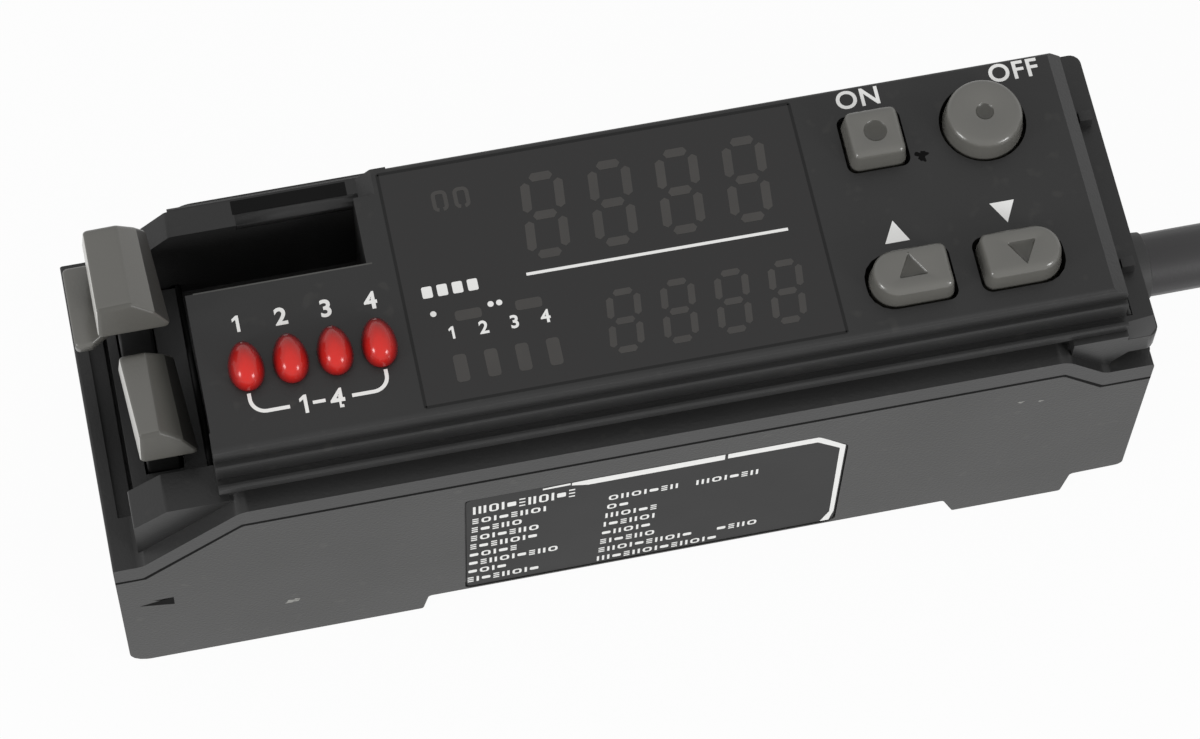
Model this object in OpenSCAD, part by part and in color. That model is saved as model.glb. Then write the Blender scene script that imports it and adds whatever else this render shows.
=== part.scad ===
// Rail-mounted photoelectric sensor amplifier, millimetres.
// X runs along the body, from the fibre end (-X) to the cable end (+X).
// The front side, which carries the sticker, faces -Y, and Z = 0 is the underside of the feet.

/* [Body] */
// Length of the body
body_l = 68; // [64:0.5:80]
// Width across the two shells
body_w = 22; // [21.4:0.2:26]
// Height of the control panel above the feet
top_z = 26.2; // [25.8:0.1:28]
// Wall of the lower case
case_wall = 1.4; // [1.2:0.1:1.6]
// Height of the seam along the middle of the body
seam_z = 19.4; // [19.2:0.1:19.8]
// Gap between the two shells at the seam
seam_gap = 0.22; // [0.16:0.02:0.24]

/* [Seam ends] */
// Height of the seam at the fibre end
seam_left_z = 13.7; // [13.4:0.1:14]
// Level stretch of the seam at the fibre end
seam_left_flat = 1.9; // [1.5:0.1:2.2]
// Run of the slanted seam at the fibre end
seam_left_run = 6.6; // [6:0.1:7]
// Height of the seam at the cable end
seam_right_z = 16.6; // [16.2:0.1:17]
// Level stretch of the seam at the cable end
seam_right_flat = 3.3; // [3:0.1:3.6]
// Run of the slanted seam at the cable end
seam_right_run = 2.8; // [2.4:0.1:3.2]

/* [Rail slot] */
// Width of the rail that the slot takes
rail_w = 35; // [35:0.1:36]
// Running room beside the rail
rail_play = 0.4; // [0.3:0.05:0.6]
// Depth of the slot under the body
slot_h = 2; // [1.8:0.1:2.2]
// Length of the foot at the fibre end
left_foot_l = 20.2; // [19:0.1:21]
// Length of the foot at the cable end
right_foot_l = 8.4; // [8:0.1:9]
// Height of the step behind the foot at the cable end
end_step_z = 2.8; // [2.6:0.1:3]
// Width of the fixed hook under the rail
hook_w = 9; // [8:0.5:10]
// Reach of the fixed hook and of the latch nose
hook_reach = 1.1; // [1:0.1:1.2]
// Thickness of the fixed hook and of the latch nose
hook_h = 0.9; // [0.8:0.05:0.95]

/* [Rail latch] */
// Width of the latch slider
latch_w = 8; // [7:0.2:9]
// Clearance round the latch slider
latch_gap = 0.15; // [0.12:0.01:0.2]
// Travel of the latch
latch_travel = 1.5; // [1.2:0.1:1.6]
// Height of the slider's lower, narrow part
latch_neck_h = 1.1; // [1:0.05:1.2]
// Height of the slider's upper, wide part
latch_rail_h = 1.1; // [1:0.05:1.2]
// How much the wide part stands out on each side
latch_lip = 0.8; // [0.7:0.05:0.9]
// Outer diameter of the latch spring
spring_d = 1.8; // [1.6:0.1:2]
// Wire of the latch spring
spring_wire = 0.3; // [0.25:0.05:0.35]
// Length of the latch spring
spring_l = 4.4; // [4:0.1:4.6]

/* [Side profile] */
// Height of the band above the seam
band_h = 2.1; // [1.9:0.1:2.2]
// Inset of the cover rail from the side
rail_inset = 1; // [0.9:0.05:1.1]
// Height of the cover rail
cover_rail_h = 0.8; // [0.7:0.05:0.9]
// Depth of the undercut below the cover rail
undercut = 0.45; // [0.3:0.05:0.5]
// Drop from the panel to the top of the cover rail
rail_drop = 2.9; // [2.8:0.05:3]
// Drop from the panel to the small ledge
ledge_drop = 1.5; // [1.4:0.05:1.6]
// Inset of the small ledge from the side
ledge_inset = 1.8; // [1.7:0.05:1.9]
// Inset of the panel from the side
panel_inset = 2.25; // [2.2:0.05:2.4]
// Thickness of the panel
panel_t = 1.6; // [1.5:0.1:1.7]
// Wall beside the inside of the upper housing
upper_wall = 1.2; // [1.1:0.1:1.3]

/* [Cable end] */
// Height of the stepped end above the feet
cap_z = 22; // [21.8:0.1:22.4]
// Length of the stepped end beyond the panel
cap_l = 2.1; // [2:0.1:2.4]
// Length of the smooth side of the stepped end
step_l = 5.7; // [5.2:0.1:6.2]
// How far the stepped end's sides stand in from the band
step_inset = 0.6; // [0.4:0.1:0.8]
// Width of the bevel at the end of the panel
bevel = 1; // [0.8:0.1:1.2]
// Thickness of the end wall
end_wall = 1.6; // [1.4:0.1:1.8]
// Length of the hollow in the side of the stepped end
hollow_l = 2.8; // [2.4:0.1:3]
// Height of that hollow
hollow_h = 1.4; // [1.2:0.1:1.6]
// Depth of that hollow
hollow_d = 1.6; // [1.2:0.1:1.8]
// Width of a cover hinge lug
lug_w = 0.7; // [0.6:0.1:0.9]
// Distance between the two cover hinge lugs
lug_pitch = 10.8; // [10:0.2:12]

/* [Fibre end] */
// Thickness of the end wall of the lever bay
bay_wall = 1.9; // [1.8:0.1:2]
// Thickness of the raised outer rim on that wall
bay_rim = 0.9; // [0.8:0.05:1]
// Drop from that rim to its inner step
bay_step = 0.7; // [0.5:0.1:0.9]
// Distance from the end to the output block
block_x = 7.5; // [7.4:0.1:7.8]
// Length of the output block
block_l = 13.35; // [13.2:0.05:13.6]
// Distance from the front side to the back of the output block
block_back = 13.2; // [13:0.1:13.4]
// Thickness of the front gusset beside the bay
gusset_t = 2.6; // [2.4:0.1:2.8]
// Height of the front gusset
gusset_z = 21.4; // [21.2:0.1:21.6]
// Height where the slant of the gusset starts
gusset_foot_z = 19.7; // [19.5:0.1:19.9]
// Distance from the fibre end to the top of the gusset's slant
gusset_run = 4; // [3.8:0.1:4.2]
// Thickness of the wall behind the pocket
back_wall = 1.8; // [1.6:0.1:2]
// Height of the wall behind the pocket
back_wall_z = 25.2; // [25:0.1:25.4]
// Height where the slant of the back wall starts
wall_foot_z = 20; // [19.8:0.1:20.2]
// Height of the bend in the slant of the back wall
wall_bend_z = 23; // [22.8:0.1:23.2]
// Distance from the fibre end to the bend in the back wall
wall_bend_run = 5; // [4.8:0.1:5.2]
// Distance from the fibre end to the notch in the back wall
notch_start = 11.5; // [11.3:0.1:11.7]
// Height of the pocket floor
pocket_z = 17.2; // [17:0.1:17.6]
// Wall round the pocket
pocket_wall = 1.2; // [1.1:0.1:1.3]

/* [Fibre ports] */
// Diameter of a fibre bore
fibre_d = 2.2; // [2:0.05:2.3]
// Height of the fibre bores above the feet
fibre_z = 9.9; // [9.6:0.1:10.2]
// Distance between the two fibres under one lever
fibre_pitch = 3.2; // [3:0.1:3.4]
// Flare of a bore's mouth
mouth = 0.4; // [0.3:0.05:0.5]
// Bottom of the snout in the end wall
snout_z = 8.1; // [7.9:0.1:8.2]
// Clearance round the snout
snout_gap = 0.12; // [0.1:0.01:0.15]
// Distance from the end of the body to the snout
snout_inset = 0.2; // [0.1:0.05:0.3]
// Length of the fibre holder inside the end wall
holder_l = 11.8; // [11:0.1:12]
// Bottom of the fibre holder above the feet
holder_z = 3.4; // [3.3:0.1:3.6]
// Height of the fibre holder's body
holder_top_z = 13.6; // [13.4:0.1:13.8]
// Height of the lever guides
guide_z = 18.4; // [18.2:0.1:18.6]

/* [Levers] */
// Travel of a fibre lock lever
lever_travel = 4; // [3.5:0.1:4.2]
// Clearance between the two levers
lever_split = 0.15; // [0.1:0.05:0.2]
// Slope of the lever ends
lever_draft = 0.6; // [0.5:0.05:0.7]
// Height of the lever grip
grip_h = 2.8; // [2.6:0.1:3]
// Reach of the grip's foot towards the fibre end
grip_fibre_l = 2.05; // [2:0.05:2.2]
// Reach of the grip's foot towards the output block
grip_block_l = 2.5; // [2.4:0.05:2.6]
// Height of the grip's steep face below the ridge
grip_face_drop = 2; // [1.9:0.1:2.1]
// Draft of the grip's steep face
grip_face_draft = 0.15; // [0.1:0.05:0.2]
// Length of the grip's flat top
grip_top_l = 1.5; // [1.4:0.1:1.6]
// Drop of the grip's flat top towards the fibre end
grip_top_drop = 0.12; // [0.1:0.02:0.14]
// Depth of the raised lever's outer tab below the ridge
tab_drop = 5.6; // [5.4:0.1:5.7]
// Thickness of the outer tab
tab_t = 1; // [0.9:0.1:1.1]
// Reach of the outer tab towards the fibre end
tab_reach = 3.85; // [3.75:0.05:3.9]
// Width of the outer tab
tab_w = 5.6; // [5.4:0.1:5.8]
// Distance that the raised lever's row lies closer to the fibre end
lever_shift = 0.35; // [0.2:0.05:0.4]
// Height of the lever ridge above the feet, pressed down
lever_z = 25.8; // [25.6:0.1:26.1]
// Length of a lever stem along X
stem_l = 2.2; // [2:0.1:2.4]
// Width of a lever stem along Y
stem_w = 4; // [3.8:0.1:4.2]
// Clearance round a lever stem
stem_gap = 0.12; // [0.1:0.01:0.15]
// Clearance between levers and walls
lever_gap = 0.2; // [0.15:0.05:0.25]

/* [Window and lights] */
// Thickness of the smoked window
window_t = 1.2; // [1.1:0.1:1.3]
// Clearance round the window
window_gap = 0.05; // [0.04:0.01:0.1]
// Width of the ledge that carries the window
window_ledge = 0.9; // [0.8:0.1:1.1]
// Border between the window and the panel edge
window_border = 0.5; // [0.4:0.05:0.6]
// Number of output lights
light_count = 4;
// Distance between output lights
light_pitch = 2.8; // [2.7:0.05:2.9]
// Width of an output light
light_d = 2.2; // [2:0.05:2.3]
// Length of an output light over its width
light_oval = 1.36; // [1.2:0.02:1.4]
// Height of an output light above the panel
light_h = 1.9; // [1.7:0.1:2]

/* [Keys] */
// Distance from the cable end to the second key column
key_end = 8.4; // [8:0.1:8.6]
// Distance between the key columns
key_col = 7.2; // [6.9:0.1:7.3]
// Distance between the key rows
key_row = 9.95; // [9.7:0.05:10.1]
// Distance from the front side to the lower key row
key_front = 5.6; // [5.3:0.05:5.7]
// Width of the mode key
mode_w = 3.7; // [3.5:0.1:3.9]
// Diameter of the set key
set_d = 5.2; // [5:0.1:5.4]
// Length of the up and down keys
arrow_l = 5.25; // [5:0.05:5.5]
// Width of the up and down keys
arrow_w = 3.45; // [3.3:0.05:3.6]
// Height of the keys above the panel
key_h = 1.5; // [1.3:0.1:1.6]
// Travel of a key
key_travel = 0.3; // [0.25:0.05:0.35]
// Clearance round a key
key_gap = 0.22; // [0.15:0.01:0.25]
// Diameter of the dimple in the mode key
mode_dimple = 1.5; // [1.3:0.1:1.6]
// Diameter of the dimple in the set key
set_dimple = 1.15; // [1:0.05:1.3]
// How far a key's flange stands out
key_flange = 0.5; // [0.4:0.05:0.6]

/* [Boards] */
// Thickness of the circuit boards
board_t = 1.2; // [1:0.1:1.3]
// Top of the display board above the feet
display_board_z = 19.8; // [19.6:0.1:20]
// Top of the main board above the feet
main_board_z = 7.4; // [7.2:0.1:7.6]
// Distance from the end wall to the main board
main_end_gap = 3; // [2.8:0.1:3.4]
// Length of the processor chip
chip_l = 7; // [6:0.5:8]
// Diameter of the capacitors
can_d = 4; // [3.5:0.5:4.5]
// Height of the capacitors
can_h = 7; // [6:0.5:8]
// Length of the board header along X
header_l = 2.5; // [2.3:0.1:2.7]
// Width of the board header along Y
header_w = 12; // [10:0.5:13]
// Length of the lead terminal
terminal_l = 3.5; // [3:0.1:4]
// Width of the lead terminal
terminal_w = 8; // [7:0.5:9]
// Height of the lead terminal
terminal_h = 5; // [4.5:0.1:5.5]
// Height of a switch body
switch_h = 1.6; // [1.5:0.1:1.7]
// Width of a switch body
switch_w = 4; // [3.8:0.1:4.2]
// Height of a switch plunger
plunger_h = 0.35; // [0.3:0.05:0.4]
// Height of the digit modules
digit_h = 4.6; // [4.4:0.1:4.7]
// Distance from the window's back edge to the large digits
digit_back = 1.2; // [1:0.05:1.4]
// Distance from the window's front edge to the small digits
digit_front = 0.65; // [0.5:0.05:0.8]
// Gap between the two rows of digits
digit_rows_gap = 1.95; // [1.8:0.05:2.1]
// Distance from the window's fibre end to the large digits
upper_start = 7.8; // [7.5:0.1:8]
// Distance from the window's cable end to the large digits
upper_end = 1.6; // [1.4:0.1:1.8]
// Distance from the window's fibre end to the small digits
lower_start = 11.6; // [11.4:0.1:12]
// Distance from the window's cable end to the small digits
lower_end = 1.4; // [1.2:0.1:1.6]
// Distance from the window's fibre end to the indicator bars
bars_start = 1.6; // [1.4:0.1:1.8]
// Gap between the indicator bars and the small digits
bars_gap = 1.4; // [1.2:0.1:1.6]
// Wall round the segments of a digit module
digit_wall = 0.3; // [0.25:0.05:0.4]

/* [Sticker] */
// Distance from the fibre end to the sticker
sticker_x = 22.8; // [22:0.1:24]
// Length of the sticker
sticker_l = 25.1; // [24:0.1:26]
// Height of the sticker
sticker_h = 14.4; // [13.6:0.1:14.6]
// Cut corner of the sticker
sticker_cut = 2.1; // [1.8:0.1:2.4]
// Thickness of the sticker
sticker_t = 0.15; // [0.1:0.01:0.16]
// Depth of the recess for the sticker
sticker_recess = 0.2; // [0.18:0.01:0.25]
// Border of the recess round the sticker
sticker_border = 0.12; // [0.1:0.02:0.2]

/* [Cable] */
// Diameter of the cable
cable_d = 4.3; // [4.1:0.1:4.5]
// Height of the cable at the bush
cable_z = 9.9; // [9.6:0.1:10.2]
// Diameter of the bush neck
bush_neck_d = 6.2; // [6:0.1:6.4]
// Diameter of the bush flanges
bush_flange_d = 7.6; // [7.4:0.1:7.8]
// Clearance round the bush neck
bush_gap = 0.08; // [0.05:0.01:0.1]
// Length of the bush outside the body
bush_out = 3.4; // [3.2:0.1:3.8]
// Length of the folded hank
hank_l = 84; // [80:1:86]
// Width of the folded hank
hank_w = 40.7; // [40:0.1:41]
// Width of the bundle on each side of the hank
hank_bundle = 9.1; // [9:0.1:9.4]
// Height of the hank
hank_h = 28.8; // [28.6:0.1:29]
// Thickness of a cable tie
tie_t = 0.6; // [0.5:0.05:0.65]
// Width of a cable tie
tie_w = 4; // [3:0.5:5]

/* [Hidden] */
$fn = 48;
arc_steps = 5;
eps = 0.01;
hw = body_w / 2;
left = -body_l / 2;
right = body_l / 2;
front = -hw;
slot_l = rail_w + rail_play;
slot_x = left + left_foot_l;
slot_end = slot_x + slot_l;
block_right = left + block_x + block_l;
wall_step_x = block_right - 0.4;
panel_end = right - cap_l;
key_panel_l = 20.35;
window_x = block_right;
window_end = right - key_panel_l;
window_w = body_w - 2 * (panel_inset + window_border);
panel_hw = hw - panel_inset;
cav_hw = panel_hw - upper_wall + 0.45;
pocket_front = front + block_back;
pocket_back = panel_hw - back_wall;
pocket_end = block_right - 1.8;
bay_front = front + rail_inset + gusset_t;
bay_back = pocket_back;
panel_under = top_z - panel_t;
foot_chamfer = 0.4;
case_floor = slot_h + case_wall;
lever_x = left + 4.4;
bay_x = left + bay_wall - 0.1;
lever_w = (bay_back - bay_front - 2 * lever_gap - lever_split) / 2;
front_lever_y = bay_front + lever_gap + lever_w / 2;
back_lever_y = bay_back - lever_gap - lever_w / 2;
fibre_ys = [for (y = [front_lever_y, back_lever_y], s = [-1, 1]) y + s * fibre_pitch / 2];
holder_x = left + bay_wall + 0.3;
holder_end = holder_x + holder_l;
light_x = left + block_x + 2.9;
light_y = front + 7.55;
key_x2 = right - key_end;
key_x1 = key_x2 - key_col;
key_y1 = front + key_front;
key_y2 = key_y1 + key_row;
window_l = window_end - window_x;
digit_rows = window_w - digit_back - digit_front - digit_rows_gap;
upper_tall = 0.56 * digit_rows;
lower_tall = digit_rows - upper_tall;
digit_low = digit_front - window_w / 2;
digit_y2 = window_w / 2 - digit_back - upper_tall / 2;
digit_y1 = digit_low + lower_tall / 2;
bars_l = lower_start - bars_start - bars_gap;
main_x = slot_x + 1.2;
main_end = right - end_wall - main_end_gap;
main_mid = (main_x + main_end) / 2;
latch_x = slot_end - hook_reach;
latch_l = right - 0.6 - latch_x;
latch_post_x = slot_end + 2;
spring_z = latch_neck_h + latch_rail_h + 0.15 + spring_d / 2;
cable_x = right + bush_out;
hank_x = 65;
hank_y = hw - hank_w / 2;
hank_z = 0.7;
tie_x = 105;
cable_route = [[cable_x, 0, 9.9], [42, 0, 9.9], [46, 0, 9.7], [50, 0.6, 9.05], [54, 1.8, 8.05],
    [58, 3.45, 6.9],
    [62, 5.3, 5.65], [66, 6.95, 4.5], [70, 8.15, 3.6], [74, 8.7, 3.1], [78, 8.75, 2.95], [82, 8.75, 2.95]];

// Rounded outlines: every corner of a point list gets an arc of its own radius
function unit(v) = v / norm(v);
function corner(a, b, c, r) = r == 0 ? [b] :
    let (u = unit(a - b), v = unit(c - b), half = acos(u * v) / 2,
        o = b + unit(u + v) * r / sin(half), s = u * r / tan(half) + b - o, e = v * r / tan(half) + b - o)
    [for (i = [0 : arc_steps]) o + r * unit(s * (1 - i / arc_steps) + e * i / arc_steps)];
function rounded(pts, radii) = let (n = len(pts))
    [for (i = [0 : n - 1]) each corner(pts[(i + n - 1) % n], pts[i], pts[(i + 1) % n], radii[i])];
function box_points(x0, x1, y0, y1) = [[x0, y0], [x1, y0], [x1, y1], [x0, y1]];
function backwards(list) = [for (i = [len(list) - 1 : -1 : 0]) list[i]];
function mirrored(pts) = [for (i = [len(pts) - 1 : -1 : 0]) [-pts[i][0], pts[i][1]]];

// Seam path from the fibre end to the cable end, raised by dz
function seam_path(dz) = [
    [left, seam_left_z + dz], [left + seam_left_flat, seam_left_z + dz],
    [left + seam_left_flat + seam_left_run, seam_z + dz],
    [right - seam_right_flat - seam_right_run, seam_z + dz],
    [right - seam_right_flat, seam_right_z + dz], [right, seam_right_z + dz]];

// Extrusions of outlines drawn in XZ, in YZ and in XY
module along_y(y0, y1) translate([0, y1, 0]) rotate([90, 0, 0]) linear_extrude(y1 - y0) children();
module along_x(x0, x1) translate([x0, 0, 0]) rotate([90, 0, 90]) linear_extrude(x1 - x0) children();
module along_z(z0, z1) translate([0, 0, z0]) linear_extrude(z1 - z0) children();
module block(x0, x1, y0, y1, z0, z1) translate([x0, y0, z0]) cube([x1 - x0, y1 - y0, z1 - z0]);
module hole_x(x0, x1, y, z, d) translate([x0, y, z]) rotate([0, 90, 0]) cylinder(h = x1 - x0, d = d);

// Side outline of the lower case, from the feet up to the seam
module case_outline() {
    heel = end_step_z - 0.15;
    pts = concat([[left, 0], [slot_x - foot_chamfer, 0], [slot_x, slot_h], [slot_end, slot_h],
        [slot_end + 2 * foot_chamfer, 0], [slot_end + right_foot_l, 0],
        [slot_end + right_foot_l + foot_chamfer, heel], [right, end_step_z]],
        backwards(seam_path(0)));
    polygon(rounded(pts, [1.4, 0.2, 0.3, 0.3, 0.2, 0.2, 0.3, 0.5, 0, 1, 1.5, 1.5, 1, 0]));
}

// Inside of the lower case: low over the fibre end's foot, high over the rail slot and the latch
module case_inside() {
    latch_roof = spring_z + spring_d / 2 + case_wall;
    pts = [[left + bay_wall, case_wall], [slot_x - case_wall - foot_chamfer, case_wall],
        [slot_x - case_wall, case_floor], [slot_end - case_wall, case_floor],
        [slot_end - case_wall + 1, latch_roof], [right - end_wall, latch_roof],
        [right - end_wall, top_z], [left + bay_wall, top_z]];
    polygon(rounded(pts, [0.5, 0.3, 0.3, 0.3, 0.3, 0.3, 0, 0]));
}

module sticker_outline(grow) {
    x0 = left + sticker_x - grow;
    x1 = left + sticker_x + sticker_l + grow;
    z1 = slot_h + 0.3 + sticker_h + grow;
    pts = [[x0, slot_h + 0.3 - grow], [x1, slot_h + 0.3 - grow], [x1, z1 - sticker_cut - grow / 2],
        [x1 - sticker_cut - grow / 2, z1], [x0, z1]];
    polygon(rounded(pts, [0.4, 0.6, 0.8, 0.8, 0.4]));
}

module latch_channel() {
    g = latch_gap;
    block(slot_end - 1, right + 1, -latch_w / 2 + latch_lip - g, latch_w / 2 - latch_lip + g, -1,
        latch_neck_h);
    block(slot_end - 1, right + 1, -latch_w / 2 - g, latch_w / 2 + g, latch_neck_h,
        latch_neck_h + latch_rail_h + g);
    block(latch_post_x - 0.6, latch_post_x + 0.8 + spring_l + 0.1,
        -spring_d / 2 - 0.2, spring_d / 2 + 0.2, latch_neck_h, spring_z + spring_d / 2 + g);
}

module lower_case() color("#5c5c5a") difference() {
    union() {
        difference() {
            along_y(-hw, hw) case_outline();
            along_y(-hw + case_wall, hw - case_wall) case_inside();
        }
        // Ribs that carry the main board
        for (x = [slot_x + 3, slot_end - 5], y = [-hw + case_wall, hw - case_wall - 2])
            block(x, x + 2, y, y + 2, case_floor - eps, main_board_z - board_t);
        // Seat that carries the fibre holder
        for (y = [-4, 3])
            block(holder_x + 1, holder_end - 1, y, y + 1, case_wall - eps, holder_z);
        // Fixed hook that goes under the rail
        along_y(-hook_w / 2, hook_w / 2) polygon([[slot_x - 1.5, 0], [slot_x + hook_reach, 0.2],
            [slot_x + hook_reach, hook_h], [slot_x - 0.5, hook_h]]);
    }
    // Notch in the end wall, filled by the snout of the fibre holder
    block(left - 1, left + bay_wall + 1, bay_front + lever_gap - snout_gap,
        bay_back - lever_gap + snout_gap, snout_z - snout_gap, top_z);
    hole_x(right - end_wall - 1, right + 1, 0, cable_z, bush_neck_d + 2 * bush_gap);
    latch_channel();
    along_y(-hw - 1, -hw + sticker_recess) sticker_outline(sticker_border);
    // Small wedge-shaped window beside the fibre end
    along_y(-hw - 1, -hw + 0.7) polygon([[left + 2.2, 9.9], [left + 3.5, 9.3], [left + 3.5, 9.9]]);
    // Core-outs under the feet
    for (y = [-hw + 2.2, hook_w / 2 + 1]) block(left + 4, slot_x - 3, y, y + 3.2, -1, 0.6);
}

// Section across the body: its front half from the seam up to the panel, then the same mirrored
ledge_z = seam_z + band_h;
rail_z = top_z - rail_drop;
step_z = top_z - ledge_drop;
half_section = [[-hw, seam_z + seam_gap], [-hw, ledge_z], [-hw + rail_inset - 0.35, ledge_z],
    [-hw + rail_inset - 0.15, ledge_z - 0.25], [-hw + rail_inset + undercut, ledge_z - 0.25],
    [-hw + rail_inset + undercut, rail_z - cover_rail_h], [-hw + rail_inset, rail_z - cover_rail_h],
    [-hw + rail_inset, rail_z], [-hw + rail_inset + 0.3, rail_z], [-hw + rail_inset + 0.4, rail_z - 0.3],
    [-hw + ledge_inset, rail_z - 0.3], [-hw + ledge_inset, step_z], [-hw + panel_inset, step_z],
    [-hw + panel_inset, top_z]];
half_radii = [0, 0.15, 0, 0, 0, 0, 0.1, 0.15, 0, 0, 0, 0.12, 0, 0.3];

module upper_section()
    polygon(rounded(concat(half_section, mirrored(half_section)),
        concat(half_radii, backwards(half_radii))));

// Band above the seam, all the way along
module band_outline() {
    pts = concat(seam_path(seam_gap), backwards(seam_path(band_h)));
    polygon(rounded(pts, [0, 1, 1.5, 1.5, 1, 0, 0.3, 1, 1.5, 1.5, 1, 0.2]));
}

module above_seam(z) {
    pts = concat(seam_path(seam_gap), [[right, z], [left, z]]);
    polygon(rounded(pts, [0, 1, 1.5, 1.5, 1, 0, 0, 0]));
}

// Gusset beside the lever bay, seen from the front side
module gusset_outline() {
    polygon(rounded([[bay_x, seam_left_z + band_h - 1], [bay_x, gusset_foot_z],
        [left + gusset_run, gusset_z],
        [left + block_x + 0.5, gusset_z], [left + block_x + 0.5, seam_z - 1], [left + 7, seam_z - 1]],
        [0, 0.3, 0.3, 0, 0, 0]));
}

// Wall behind the pocket and the bay, with its slanted end
module back_wall_outline() {
    polygon(rounded([[bay_x, seam_left_z + band_h - 1], [bay_x, wall_foot_z],
        [left + wall_bend_run, wall_bend_z],
        [left + block_x - 0.3, back_wall_z], [wall_step_x - 1, back_wall_z], [wall_step_x, top_z],
        [wall_step_x + 1, top_z], [wall_step_x + 1, seam_z - 1], [left + 7, seam_z - 1]],
        [0, 0.4, 0.4, 0.4, 0.2, 0.2, 0, 0, 0]));
}

// Space over the band, on the outer side of the cover rails
module over_band() {
    pts = concat(seam_path(band_h), [[right, top_z + 1], [left, top_z + 1]]);
    along_y(0, 1 + rail_inset) polygon(rounded(pts, [0, 1, 1.5, 1.5, 1, 0, 0, 0]));
}

module upper_solid() {
    difference() {
        along_x(left + block_x - 0.1, panel_end) upper_section();
        for (y = [-hw - 1, hw - rail_inset]) translate([0, y, 0]) over_band();
    }
    // Stepped end at the cable side, filled up to the cover rails under the panel
    intersection() {
        along_y(-hw, hw) above_seam(rail_z - cover_rail_h + eps);
        difference() {
            along_z(0, top_z) polygon(rounded(box_points(right - step_l, right, -hw + step_inset,
                hw - step_inset), [0, 0.7, 0.7, 0]));
            block(panel_end, right + 1, -hw - 1, hw + 1, cap_z, top_z + 1);
        }
    }
    difference() {
        along_y(-hw, hw) band_outline();
        block(left + bay_wall, right - end_wall, -hw + 1.6, hw - 1.6, 0, top_z);
    }
    along_y(-hw + rail_inset, -hw + rail_inset + gusset_t) gusset_outline();
    along_y(bay_back, bay_back + back_wall) back_wall_outline();
}

// Space inside the upper housing, under the panel
module upper_space() {
    // Under the keys and the window
    block(block_right - 0.2, panel_end - end_wall, -cav_hw, cav_hw, 0, panel_under);
    // Under the output block, in front of the pocket
    block(left + block_x + pocket_wall, block_right, -cav_hw, pocket_front - pocket_wall, 0, panel_under);
    // Behind the band, over the top edge of the lower case
    block(left + block_x + pocket_wall, panel_end - end_wall, -hw + 1.6, hw - 1.6, 0, seam_z + 0.8);
    // Between the two hollows of the stepped end
    block(panel_end - end_wall - eps, right - end_wall, -hw + 4, hw - 4, 0, seam_z + 0.8);
    // Under the pocket floor
    block(left + block_x + pocket_wall, block_right, -cav_hw, cav_hw, 0, pocket_z - pocket_wall);
}

module pocket_box() {
    // Pocket tub: floor and walls, open at the top and towards the lever bay
    difference() {
        block(left + block_x - 0.1, pocket_end + pocket_wall, pocket_front - pocket_wall, bay_back + 0.5,
            pocket_z - pocket_wall, top_z - 0.5);
        block(left + block_x - 1, pocket_end, pocket_front, bay_back, pocket_z, top_z);
    }
}

module window_opening() {
    x0 = window_x;
    x1 = window_end;
    w = window_w / 2 + window_gap;
    block(x0 - window_gap, x1 + window_gap, -w, w, top_z - window_t, top_z + 1);
    block(x0 + window_ledge, x1 - window_ledge, -w + window_ledge, w - window_ledge, 0, top_z);
}

module key_outline(kind, grow) {
    g = grow;
    if (kind == "mode") polygon(rounded(box_points(-mode_w / 2 - g, mode_w / 2 + g, -mode_w / 2 - g,
        mode_w / 2 + g), [0.6, 0.6, 0.6, 0.6]));
    if (kind == "set") circle(d = set_d + 2 * g);
    if (kind == "up") polygon(rounded(box_points(-arrow_l / 2 - g, arrow_l / 2 + g, -arrow_w / 2 - g,
        arrow_w / 2 + g), [arrow_w / 2 - 0.05, 0.7, 0.7, arrow_w / 2 - 0.05]));
    if (kind == "down") polygon(rounded(box_points(-arrow_l / 2 - g, arrow_l / 2 + g, -arrow_w / 2 - g,
        arrow_w / 2 + g), [0.7, arrow_w / 2 - 0.05, arrow_w / 2 - 0.05, 0.7]));
}

function key_pos(kind) = kind == "mode" ? [key_x1, key_y2] : kind == "set" ? [key_x2, key_y2] :
    kind == "up" ? [key_x1, key_y1] : [key_x2, key_y1];

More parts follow.
